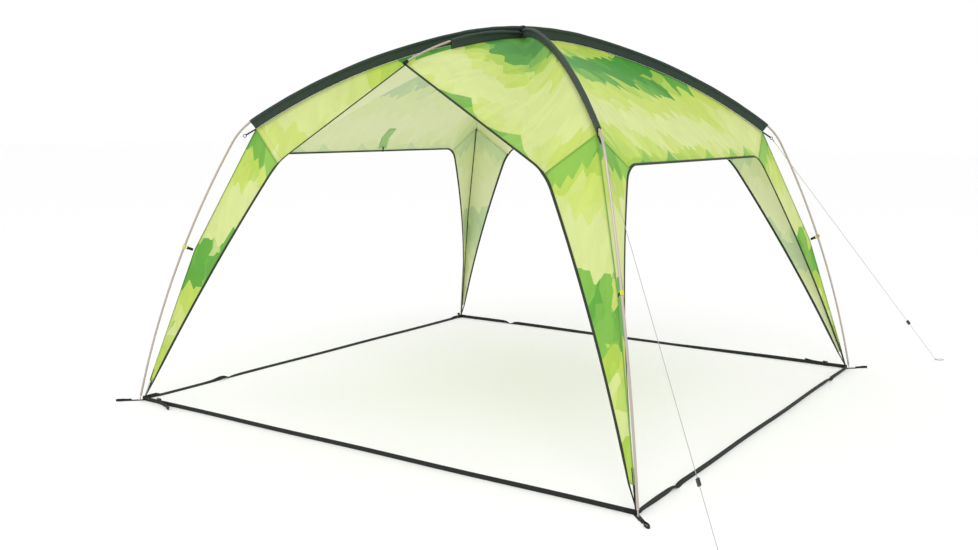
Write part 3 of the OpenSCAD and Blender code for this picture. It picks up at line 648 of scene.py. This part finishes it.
def cord_material(name, colour):
    """Braided cord: two sets of strands crossing at a slant."""
    s = Shader(name)
    cloth = s.cloth()
    braid = s.math("MAXIMUM", *[s.wave(s.moved(cloth, (1, 1, 0), a), 260.0) for a in (35, -35)])
    shade = s.mixed(braid, toned(colour, 0.55), colour)
    s.finish(shade, 0.7, normal=s.bump(braid, 0.0002, 0.8), Sheen_Weight=0.2)


def floor_material():
    s = Shader("floor")
    speckle = s.times(s.noise(s.position(), 3, 2), 0.1)
    s.finish(s.mixed(speckle, rgb(254, 254, 254), rgb(250, 250, 250)), 0.9)


# Leaves on the borders: spacing, height, slope, first and last place, wandering, and skew
LEVEL_SPIKES = (0.39, 0.085, 1.3, -0.92, 0.98, 0.5, 0.8)
GABLE_SPIKES = (0.36, 0.16, 1.3, 0.27, 0.99, 0, 0)
LEG_SPIKES = (0.066, 0.125, 1.3, -2, 2, 0.3, 0)
# Each panel's bands, turn of the leaves, border, and the darkness of its hem's stitching
PRINTS = {"level": (LEVEL_BANDS, 4, LEVEL_SPIKES, 0.2), "gable": (GABLE_BANDS, 6, GABLE_SPIKES, 0.2),
          "leg": (LEG_BANDS, 0, LEG_SPIKES, 0.0)}
woven_material("sleeve_cloth", rgb(46, 60, 54), crease=0.003)
woven_material("seam_cloth", rgb(120, 170, 74), tint=0.12)
woven_material("edge_tape", rgb(38, 50, 36), 0.0022)
webbing_material("black_webbing", rgb(26, 28, 27))
webbing_material("base_webbing", rgb(30, 35, 31))
woven_material("patch_cloth", rgb(158, 196, 124), 0.0018, tint=0.12)
metal_material("pole_tube", rgb(190, 178, 168), 0.32)
metal_material("ferrule_metal", rgb(205, 205, 205), 0.25)
metal_material("tip_metal", rgb(190, 190, 186), 0.28)
cord_material("elastic_cord", rgb(60, 60, 60))
cord_material("guy_cord", rgb(176, 178, 174))
plastic_material("clip_plastic", rgb(205, 212, 40), 0.3)
plastic_material("black_plastic", rgb(24, 25, 25), 0.42)
for panel, look in PRINTS.items():
    print_material(f"{panel}_print", *look)
    print_material(f"{panel}_inside", *look, inside=True)
floor_material()


# ------------------------ canopy
rng = np.random.default_rng(7)
WAVES = [(unit(rng.normal(size=3)) * rng.uniform(7, 19), rng.uniform(0, 6.28)) for _ in range(9)]


def swell(p):
    """Broad, shallow unevenness of tensioned cloth, from -1 to 1."""
    return sum(math.sin(k @ p + phase) for k, phase in WAVES) / len(WAVES) * 1.6


def filled(exact, smooth, v):
    """How far a panel stands off its straight lines: smooth inside, exact along the edge."""
    return v * mix(smooth, exact, v**4)


def edge_point(o, w, d1):
    """The roof's outer edge: w from the middle of the opening to the corner seam."""
    if w <= o.knee_u:
        return o.top(w / o.knee_u)
    return mix(o.top(1), d1, (w - o.knee_u) / (1 - o.knee_u))


def gable_point(o, u, v):
    """A point of half a gable panel: u from the ridge to the corner seam, v from the crown out."""
    d, d1 = diagonal(seam(slope_at(v * SLEEVE_END_S))), diagonal(LEG_TOP)
    ridge = np.array([RIDGE_HALF * v, 0, ridge_seam_z(RIDGE_HALF * v)])
    bulge = (o.top(1) - mix(o.mid, d1, o.knee_u)) * 6.4 * u * u * (1 - u)
    return mix(ridge, d, u) + filled(edge_point(o, u, d1) - mix(o.mid, d1, u), bulge, v)


def level_point(o, u, v):
    """A point of a level panel: u across from seam to seam, v from the crown out."""
    d, d1 = diagonal(seam(slope_at(v * SLEEVE_END_S))), diagonal(LEG_TOP)
    edge = edge_point(o, abs(u), d1) * (MIRROR if u < 0 else 1)
    h = (1 + u) / 2
    bulge = (o.mid - mix(d1 * MIRROR, d1, 0.5)) * (1 - u**4)
    return mix(d * MIRROR, d, h) + filled(edge - mix(d1 * MIRROR, d1, h), bulge, v)


def leg_point(o, u, t):
    """A point of a leg panel: u from the corner seam to the bound edge, t from the top down."""
    seam_z, trim_z = mix(LEG_TOP[1], LEG_END_Z, t), mix(o.knee_z, LEG_END_Z, t)
    a = diagonal(np.array([leg_seam_at(seam_z)[0], seam_z]))
    b = o.trim(trim_z) if t > 0 else o.top(1)
    return mix(a, b, u)


def steps(low, high, count, *dense):
    """Evenly spaced values, with extra ones close together in the stretches given."""
    extra = [np.linspace(a, b, 7) for a, b in dense]
    return np.unique(np.round(np.concatenate([np.linspace(low, high, count), *extra]), 5))


class Patchwork:
    """Panels of cloth collected into one welded sheet, each point with cloth coordinates."""

    def __init__(self):
        self.points, self.faces, self.coords, self.slots = [], [], [], []

    def add(self, grid, coords, material, flip=False):
        rows, cols = grid.shape[:2]
        base = len(self.points)
        self.points += list(grid.reshape(-1, 3))
        flat = coords.reshape(-1, 3)
        for i in range(rows - 1):
            for j in range(cols - 1):
                face = [i * cols + j, i * cols + j + 1, (i + 1) * cols + j + 1, (i + 1) * cols + j]
                face = face[::-1] if flip else face
                self.faces.append([base + k for k in face])
                self.coords += [flat[k] for k in face]
                self.slots.append(material)

    def build(self, name, outside, inside):
        """Welds the panels and gives them thickness inwards, with the inside's own materials."""
        materials = [MATERIALS[key] for key in outside + inside]
        piece = add_mesh(name, self.points, self.faces, materials, self.coords, self.slots)
        bm = bmesh.new()
        bm.from_mesh(piece.data)
        bmesh.ops.remove_doubles(bm, verts=bm.verts, dist=0.0004)
        bm.to_mesh(piece.data)
        bm.free()
        piece.data.update()
        thick = piece.modifiers.new("cloth", "SOLIDIFY")
        thick.thickness = CLOTH
        thick.offset = -1
        thick.material_offset = len(outside)
        apply_modifiers(piece)
        return piece


def apply_modifiers(piece):
    with bpy.context.temp_override(object=piece, active_object=piece, selected_objects=[piece]):
        for modifier in list(piece.modifiers):
            bpy.ops.object.modifier_apply(modifier=modifier.name)


def panel_grid(o, point, us, vs, print_axes=None, loose=0.004):
    """Points and cloth coordinates of a panel, whose cloth swells a little away from its seams.
    print_axes are the origin and the directions of the print, where they aren't the panel's."""
    grid = np.array([[point(o, u, v) for u in us] for v in vs])
    normal = np.cross(np.gradient(grid, axis=1), np.gradient(grid, axis=0))
    normal /= np.maximum(np.linalg.norm(normal, axis=2, keepdims=True), 1e-9)
    shares = (us - us[0]) / (us[-1] - us[0])
    lift = np.array([[hump(u) * hump(v) * swell(p) * loose for u, p in zip(shares, row)]
                     for v, row in zip(vs, grid)])
    length = lengths_along(grid[:, len(us) // 2])
    coords = np.zeros_like(grid)
    coords[:, :, 0] = grid[:, :, 1]
    coords[:, :, 1] = length[:, None] - ASKEW * grid[:, :, 1]
    coords[:, :, 2] = length[-1] - length[:, None]
    if print_axes is not None:
        origin, across, along = print_axes
        coords[:, :, 0] = (grid - origin) @ across
        coords[:, :, 1] = (grid - origin) @ along
    return grid + normal * lift[:, :, None], coords


def gable_axes(o):
    """The print on half a gable panel runs across from the ridge's end to the leg's top."""
    crown = np.array([0, 0, ridge_seam_z(0)])
    across = unit(diagonal(LEG_TOP) - o.mid)
    return crown, across, square_to(o.mid - crown, across)


def turned(grid, az):
    c, s = cosd(az), sind(az)
    return np.asarray(grid) @ np.array([[c, s, 0], [-s, c, 0], [0, 0, 1]])


def canopy_roof():
    """The roof: two ridged gable panels and two level ones, sewn along the poles."""
    cloth = Patchwork()
    vs = steps(CROWN_V, 1, 64)
    for o in OPENINGS.values():
        bend = (o.knee_u * (1 - KNEE_ROUND / o.top_l), o.knee_u + 0.01)
        if o.gable:
            grid, coords = panel_grid(o, gable_point, steps(0, 1, 34, bend), vs, gable_axes(o))
            cloth.add(turned(grid, o.az), coords, 1, flip=True)
            cloth.add(turned(grid * MIRROR, o.az), coords * np.array([-1, 1, 1]), 1)
        else:
            us = steps(-1, 1, 60, bend, (-bend[1], -bend[0]))
            grid, coords = panel_grid(o, level_point, us, vs)
            cloth.add(turned(grid, o.az), coords, 0, flip=True)
    piece = cloth.build("canopy_roof", ["level_print", "gable_print"], ["level_inside", "gable_inside"])
    settle(piece, "shelter", "canopy_print", *[f"roof_panel_{name}" for name in OPENINGS])


LEG_SIDES = {"fl": (("front", -1), ("left", 1)), "fr": (("front", 1), ("right", -1)),
             "rr": (("right", 1), ("rear", -1)), "rl": (("rear", 1), ("left", -1))}


def canopy_leg(corner):
    """One leg: two tapering panels that meet at the corner seam."""
    cloth = Patchwork()
    print_axes = (np.array([0, 0, LEG_TOP[1] - 0.06]), np.array([0, 1, 0]), np.array([0, 0, -1.04]))
    for side, sign in LEG_SIDES[corner]:
        o = OPENINGS[side]
        ts = steps(0, 1, 60, (0, 1.4 * KNEE_ROUND / (o.knee_z - LEG_END_Z)))
        grid, coords = panel_grid(o, leg_point, steps(0, 1, 15), ts, print_axes, loose=0.0028)
        # A leg's border leaves hang from its top
        coords[:, :, 2] = coords[:1, :1, 2] - coords[:, :, 2]
        grid, coords = grid * np.array([1, sign, 1]), coords * np.array([sign, 1, 1])
        cloth.add(turned(grid, o.az), coords, 0, flip=sign < 0)
    piece = cloth.build(f"canopy_leg_{corner}", ["leg_print"], ["leg_inside"])
    settle(piece, "shelter", "canopy_print", f"leg_panels_{corner}")


# ------------------------ sleeves and bound edges
def lumps(count, seed, smooth=5):
    """A smooth random series from -1 to 1."""
    r = np.random.default_rng(seed)
    raw = np.convolve(r.normal(size=count + 4 * smooth), np.hanning(2 * smooth + 1) / smooth, "same")
    return np.clip(raw[2 * smooth:2 * smooth + count] * 0.9, -1, 1)


def sleeve_rings(stations, seed):
    """Rings of a sleeve: a loose tube round the pole that narrows to a web down to the seam.
    Each station gives the pole's point, its outward normal, sideways, and the web's depth."""
    loose, slack, lean = (lumps(len(stations), seed + k) for k in range(3))
    angles = np.linspace(math.radians(-62), math.radians(242), 17)
    rings = []
    for i, (point, out, side, depth) in enumerate(stations):
        r = 0.0105 + 0.0016 * loose[i]
        ring = [point + r * ((1 + 0.12 * slack[i] * math.sin(q)) * math.sin(q) * out + math.cos(q) * side)
                for q in angles]
        left, right = [], []
        for t in np.linspace(0, 1, 6)[1:]:
            width = mix(0.0046, 0.0011, t ** 0.6)
            sway = 0.003 * lean[i] * math.sin(math.pi * t)
            down = -out * mix(0.0095, depth, t)
            left.append(point + down + side * (sway - width))
            right.append(point + down + side * (sway + width))
        rings.append(ring + left + right[::-1])
    return rings


def sleeve(name, node, az, stations, seed):
    """A sleeve from stations along its pole: distance from the centre, height, slope, and how far
    the seam is below."""
    side = spin((0, 1, 0), az)
    stations = [(spin((s, 0, z), az), spin((sind(a), 0, cosd(a)), az), side, depth - 0.001)
                for s, z, a, depth in stations]
    piece = sweep(name, sleeve_rings(stations, seed), "sleeve_cloth", capped=False)
    settle(piece, "shelter", "sleeve_cloth", node)


def pole_sleeve(corner):
    upper = corner in ("fl", "rr")
    top, az, stations = CROWN_Z if upper else LOW_CROWN_Z, CORNERS[corner], []
    for a in np.linspace(-0.1 if upper else 0.45, SLEEVE_A, 110):
        depth = (arch(top, a) - seam(a)) @ np.array([sind(a), cosd(a)])
        stations.append((*arch(top, a), a, depth))
    sleeve(f"sleeve_{corner}", f"pole_sleeve_{corner}", az, stations, az % 90 + 3)


def ridge_sleeve(name):
    az, stations = OPENINGS[name].az, []
    for y in np.linspace(*RIDGE_SLEEVE, 60):
        z = ridge_pole_z(y)
        stations.append((y, z, math.degrees(math.asin(y / RIDGE_R)), z - ridge_seam_z(y)))
    sleeve(f"sleeve_ridge_{name}", f"ridge_sleeve_{name}", az, stations, az + 200)


def opening_edge(o):
    """The bound edge from one corner over to the other: points, and the ways into the cloth."""
    point = gable_point if o.gable else level_point
    foot, end = diagonal(LEG_FOOT) - np.array([0.006, 0.006, 0]), leg_point(o, 1, 1)
    into_end = leg_point(o, 0.8, 1) - end
    out = [(mix(foot, end, t), into_end) for t in np.linspace(0, 1, 9)[:-1]]
    knee_t = 1.02 * KNEE_ROUND / (o.knee_z - LEG_END_Z)
    for t in np.concatenate([np.linspace(1, knee_t, 46), np.linspace(knee_t, 0, 12)[1:-1]]):
        out.append((leg_point(o, 1, t), leg_point(o, 0.8, t) - leg_point(o, 1, t)))
    near = 1 - 1.02 * KNEE_ROUND / o.top_l
    for t in np.concatenate([np.linspace(1, near, 12)[1:], np.linspace(near, 0, 30)[1:]]):
        out.append((o.top(t), point(o, t * o.knee_u, 0.96) - point(o, t * o.knee_u, 1)))
    points, into = (np.array(x) for x in zip(*out))
    into = np.array([unit(v) for v in into])
    into = np.array([unit(into[max(0, i - 3):i + 4].mean(axis=0)) for i in range(len(into))])
    return np.vstack([points, points[-2::-1] * MIRROR]), np.vstack([into, into[-2::-1] * MIRROR])


def edge_binding(name):
    """Tape folded over the edge of the cloth, narrower where it comes down to the corners."""
    o = OPENINGS[name]
    path, ways = opening_edge(o)
    rings, outward = [], 0
    for i, p in enumerate(path):
        t = tangent_at(path, i)
        into = square_to(ways[i], t)
        n = np.cross(into, t)
        outward = outward or (1 if n[0] + LEAN * n[2] > 0 else -1)
        wide = mix(*BINDING_WIDE, clamped((p[2] - 0.05) / 0.2))
        rings.append([p + into * (wide * math.cos(q) + 0.0005)
                      + n * outward * (BINDING_THICK * math.sin(q) - CLOTH / 2) for q in around(14)])
    piece = sweep(f"bound_edge_{name}", turned(rings, o.az), "edge_tape")
    settle(piece, "shelter", "edge_tape", f"edge_binding_{name}")


def leg_seam(corner):
    """The felled seam down the corner of a leg: a slight rib outside and a dark tape inside."""
    az = CORNERS[corner]
    out, side = spin((1, 0, 0.35), az), spin((0, 1, 0), az)
    for label, wide, off, material, slot in (("rib", 0.003, 0.0004, "seam_cloth", "canopy_print"),
                                             ("tape", 0.004, -0.0066, "edge_tape", "edge_tape")):
        rings = []
        for z in np.linspace(LEG_TOP[1] - 0.002, LEG_END_Z, 70):
            centre = spin((leg_seam_at(z)[0], 0, z), az) + off * out
            rings.append([centre + wide * math.cos(q) * side + 0.0008 * math.sin(q) * out for q in around(8)])
        settle(sweep(f"leg_seam_{label}_{corner}", rings, material), "shelter", slot)


# ------------------------ webbing along the ground
def strip(name, path, flats, width, thick, material="black_webbing"):
    """A flat strip with rounded borders. flats gives the direction of its width, once for the
    whole strip or at each point."""
    path, flats = np.asarray(path, float), np.broadcast_to(flats, (len(path), 3))
    rings = []
    for i, p in enumerate(path):
        t = tangent_at(path, i)
        w = square_to(flats[i], t)
        n = np.cross(t, w)
        rings.append([p + w * a * width / 2 + n * b * thick / 2 for a, b in STRIP_SECTION])
    return sweep(name, rings, material)


# Half the outline of a strip's section, in shares of its half width and half thickness
STRIP_HALF = [(-1, -0.4), (-0.96, -1), (-0.5, -1), (0, -1), (0.5, -1), (0.96, -1), (1, -0.4)]
STRIP_SECTION = STRIP_HALF + [(-a, -b) for a, b in STRIP_HALF]
# Where along each side its webbing turns over
TWISTS = {"front": (), "right": (-1.24, 1.24), "rear": (1.14,), "left": (1.02,)}
# Each side's lean from upright in degrees, its gain per metre, and the stretch in which it starts
LEANS = {"front": (0, 0, 0.1), "right": (-12, 5, 0.1), "rear": (52, -12, 0.9), "left": (64, 5, 0.06)}


def base_strap(name):
    """Base webbing on edge along one side, turning over once in each twist."""
    o = OPENINGS[name]
    low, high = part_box(f"base_strap_{name}")
    half_l = max(high.x - low.x, high.y - low.y) / 2
    lean, gain, start = LEANS[name]
    path, flats = [], []
    for y in np.linspace(-half_l, half_l, 240):
        turn = sum(180 / (1 + math.exp(-(y - at) / 0.028)) for at in TWISTS[name])
        turn += (lean + gain * y) * clamped((half_l - abs(y)) / start - 0.4)
        sway = 0.0025 * math.sin(y * 5.3 + o.az)
        rise = WEB_W / 2 * abs(cosd(turn)) + WEB_T / 2 * abs(sind(turn))
        path.append([HALF + sway, y, rise + 0.0003])
        flats.append([sind(turn), 0, cosd(turn)])
    path, flats = turned(path, o.az), turned(flats, o.az)
    piece = strip(f"base_webbing_{name}", path, flats, WEB_W - 0.0004, WEB_T, "base_webbing")
    settle(piece, "shelter", "base_webbing", f"base_strap_{name}")


def leg_top_seam(corner):
    """The seam between the roof and a leg, as a slight rib on each side of the corner."""
    pieces = []
    for side, sign in LEG_SIDES[corner]:
        o = OPENINGS[side]
        path = [leg_point(o, u, 0) * np.array([1, sign, 1]) for u in np.linspace(0.02, 0.98, 30)]
        pieces.append(sweep("seam", turned(round_rings(path, 0.0017, 8), o.az), "seam_cloth"))
    settle(join(pieces, f"leg_top_seam_{corner}"), "shelter", "canopy_print")


def on_diagonal(points, az):
    """Points given as (distance from the centre, sideways, height) along a corner's diagonal."""
    return np.array([spin(p, az) for p in points])


def foot_strap(corner):
    """Webbing from inside the end of the leg's cloth down to the corner."""
    az = CORNERS[corner]
    top = leg_seam_at(0.19)
    points = [(CORNER_S - 0.012, 0, 0.013), (LEG_FOOT[0] - 0.003, 0, LEG_FOOT[1])]
    for t in np.linspace(0.1, 1, 20):
        s, z = mix(LEG_FOOT, top, t)
        points.append((s - 0.0035, 0, z))
    return strip("strap", on_diagonal(points, az), spin((0, 1, 0), az), 0.011, 0.0018)


def ring_tab(corner):
    """Doubled webbing from the top of the leg, passed through the guy-line's ring."""
    az = CORNERS[corner]
    wire = (RING_HIGH - RING_LOW) / 2 - 0.002
    centre = np.array([RING_S, RING_Z])
    toward = unit(centre - LEG_TOP)
    near = centre - toward * wire
    ends = []
    for q in np.linspace(-90, 90, 11):
        at = near + toward * 0.0033 * cosd(q)
        ends.append((at[0], 0.0033 * sind(q), at[1]))
    s, z = LEG_TOP - toward * 0.004
    points = [(s, -0.0012, z), *ends, (s, 0.0012, z)]
    return strip("tab", on_diagonal(points, az), spin((-toward[1], 0, toward[0]), az), 0.009, 0.0012)


def stake_loop(corner):
    """A loop of webbing on edge, sewn flat where it leaves the corner."""
    az = CORNERS[corner]
    start = CORNER_S + TONGUE_L
    side = [(0, 0.0013), (0.02, 0.0014), (0.034, 0.0035), (0.05, 0.0078), (0.069, 0.0088), (0.083, 0.0066),
            (0.0895, 0.0)]
    outline = side + [(x, -y) for x, y in side[-2::-1]]
    flat = smooth_path([(start + x, y, 0.0062) for x, y in outline], 5)
    band = strip("band", on_diagonal(flat, az), (0, 0, 1), 0.0118, 0.0018)
    base = on_diagonal([(start - 0.001 + x, 0, 0.0013) for x in np.linspace(0, 0.03, 8)], az)
    sewn = strip("sewn", base, spin((0, 1, 0), az), 0.02, 0.0022)
    piece = join([band, sewn], f"webbing_loop_{corner}")
    settle(piece, f"loop_{corner}", "black_webbing", f"stake_loop_{corner}")


def block(low, high, az):
    """A plastic bar with rounded edges, given in an opening's frame."""
    corners = np.array([[x, y, z] for x in (0, 1) for y in (0, 1) for z in (0, 1)]) * (high - low) + low
    faces = [(0, 1, 3, 2), (4, 6, 7, 5), (0, 4, 5, 1), (2, 3, 7, 6), (0, 2, 6, 4), (1, 5, 7, 3)]
    coords = [corners[k] for f in faces for k in f]
    piece = add_mesh("block", turned(corners, az), faces, [MATERIALS["black_plastic"]], coords)
    bevel = piece.modifiers.new("round", "BEVEL")
    bevel.width = 0.0008
    bevel.segments = 2
    apply_modifiers(piece)
    return piece


def strap_buckle(name):
    """A ladder-lock on a base strap, with the strap's curling tail."""
    az, node = OPENINGS[name].az, f"strap_buckle_{name}"
    y0, gap, wall, long = -HALF + 0.135, WEB_T / 2 + 0.0006, 0.0026, 0.032
    bars = [((-gap - wall, y0, 0.0272), (gap + wall, y0 + long, 0.034))]
    for x0, x1 in ((gap, gap + wall), (-gap - wall, -gap)):
        bars.append(((x0, y0, 0.0006), (x1, y0 + long, 0.0046)))
        bars += [((x0, y0 + y, 0.0006), (x1, y0 + y + wide, 0.0335))
                 for y, wide in ((0, 0.005), (0.0135, 0.0045), (0.027, 0.005))]
    bars = np.array(bars) + np.array([HALF, 0, 0])
    piece = join([block(low, high, az) for low, high in bars], f"ladder_lock_{name}")
    settle(piece, f"buckle_{name}", "black_plastic", node)
    route = [(0.0056, 0.016, 0.0145), (0.0072, 0.03, 0.0142), (0.013, 0.055, 0.0135), (0.022, 0.085, 0.0126),
             (0.031, 0.115, 0.0122), (0.045, 0.14, 0.0122), (0.057, 0.165, 0.0122), (0.0595, 0.178, 0.0122)]
    path = smooth_path([(HALF + x, y0 + y, z) for x, y, z in route])
    flats = [(-sind(q), 0, cosd(q)) for q in np.linspace(0, 20, len(path))]
    tail = strip(f"strap_tail_{name}", turned(path, az), turned(flats, az), 0.0215, 0.0017)
    settle(tail, f"buckle_{name}", "black_webbing", node)


def crown_tie():
    """Webbing tied crosswise round the poles and sleeves where they cross, with two loose ends."""
    middle = (CROWN_Z + LOW_CROWN_Z) / 2
    tall = (CROWN_Z - LOW_CROWN_Z) / 2 + 0.0135
    pieces = []
    for az in (0, 90):
        turn = [(0.0205 * cosd(q), 0, middle + tall * sind(q)) for q in np.linspace(0, 360, 49)]
        pieces.append(strip("band", turned(turn, az), turned((0, 1, 0), az), 0.019, 0.0016))
    for x, y, length in ((0.0, -0.021, 0.05), (0.006, -0.02, 0.036)):
        fall = [(x + 0.004 * math.sin(q), y - 0.002 * q, middle + 0.004 - length * q)
                for q in np.linspace(0, 1, 12)]
        pieces.append(strip("end", fall, (1, 0.3, 0), 0.012, 0.0015))
    knot = [(0.008 * math.sin(2 * q), -0.0225 - 0.004 * math.cos(q), middle - 0.002 + 0.007 * math.cos(3 * q))
            for q in np.linspace(0, 2 * math.pi, 60)]
    pieces.append(sweep("knot", round_rings(knot, 0.0035, 8), "black_webbing"))
    settle(join(pieces, "crown_webbing"), "shelter", "black_webbing", "crown_tie")


def roof_patch():
    """Reinforcement patch sewn under the left panel, from the hem up, cranked to one side."""
    o, half_w = OPENINGS["left"], 0.041
    grid = []
    for v in np.linspace(0.868, 0.984, 15):
        middle = 0.028 - PATCH_Y - 0.052 * clamped((v - 0.925) / 0.059)
        ys = np.linspace(middle - half_w, middle + half_w, 9)
        grid.append([level_point(o, y / o.knee_y * o.knee_u, v) for y in ys])
    grid = np.array(grid)
    normal = unit(np.cross(grid[0, -1] - grid[0, 0], grid[-1, 0] - grid[0, 0]))
    grid = grid - normal * 0.004 * np.sign(normal[2])
    coords = np.stack([grid[:, :, 1], grid[:, :, 2], np.full(grid.shape[:2], 0.5)], axis=2)
    made = Patchwork()
    made.add(turned(grid, o.az), coords, 0)
    piece = made.build("roof_patch_cloth", ["patch_cloth"], ["patch_cloth"])
    settle(piece, "shelter", "patch_cloth", "roof_patch")


# ------------------------ CAD nodes that stay
def finish_cad_nodes():
    """Gives every CAD node the material named after its slot. Those of the canopy don't show."""
    for part in frame["record"]["subparts"]:
        slot = part["material_slot"]
        node = frame["nodes"][part["node"]]
        node.data.materials.clear()
        node.data.materials.append(MATERIALS["leg_print" if slot == "canopy_print" else slot])


# ------------------------ stage
def area_light(name, place, aim, size, power):
    data = bpy.data.lights.new(name, "AREA")
    data.shape = "DISK"
    data.size = size
    data.energy = power
    lamp = bpy.data.objects.new(name, data)
    lamp.location = place
    lamp.rotation_mode = "QUATERNION"
    lamp.rotation_quaternion = (Vector(aim) - Vector(place)).to_track_quat("-Z", "Y")
    bpy.context.scene.collection.objects.link(lamp)


def make_stage():
    mesh = bpy.data.meshes.new("floor")
    reach = 60
    corners = [(-reach, -reach, 0), (reach, -reach, 0), (reach, reach, 0), (-reach, reach, 0)]
    mesh.from_pydata(corners, [], [(0, 1, 2, 3)])
    mesh.materials.append(MATERIALS["floor"])
    floor = bpy.data.objects.new("floor", mesh)
    bpy.context.scene.collection.objects.link(floor)
    world = bpy.data.worlds.new("studio")
    world.use_nodes = True
    background = world.node_tree.nodes["Background"].inputs
    background["Color"].default_value = (1, 1, 1, 1)
    background["Strength"].default_value = 1.0
    bpy.context.scene.world = world
    bpy.context.scene.view_settings.view_transform = "Standard"
    area_light("key", (3.5, -5.5, 6.5), (0, 0, 1.2), 5, 90)
    area_light("fill", (-6, -4, 4), (0, 0, 1), 5, 30)


make_camera()
for name in GUY_ROUTES:
    guy_line(name)
canopy_roof()
for name in CORNERS:
    canopy_leg(name)
    leg_seam(name)
    leg_top_seam(name)
    pole_sleeve(name)
    stake_loop(name)
for name, o in OPENINGS.items():
    edge_binding(name)
    base_strap(name)
    if o.gable:
        ridge_sleeve(name)
        strap_buckle(name)
foot_webbing = join([foot_strap(name) for name in CORNERS], "leg_foot_webbing")
settle(foot_webbing, "shelter", "black_webbing", "foot_straps")
settle(join([ring_tab(name) for name in CORNERS], "ring_webbing"), "shelter", "black_webbing")
crown_tie()
roof_patch()
finish_cad_nodes()
make_stage()
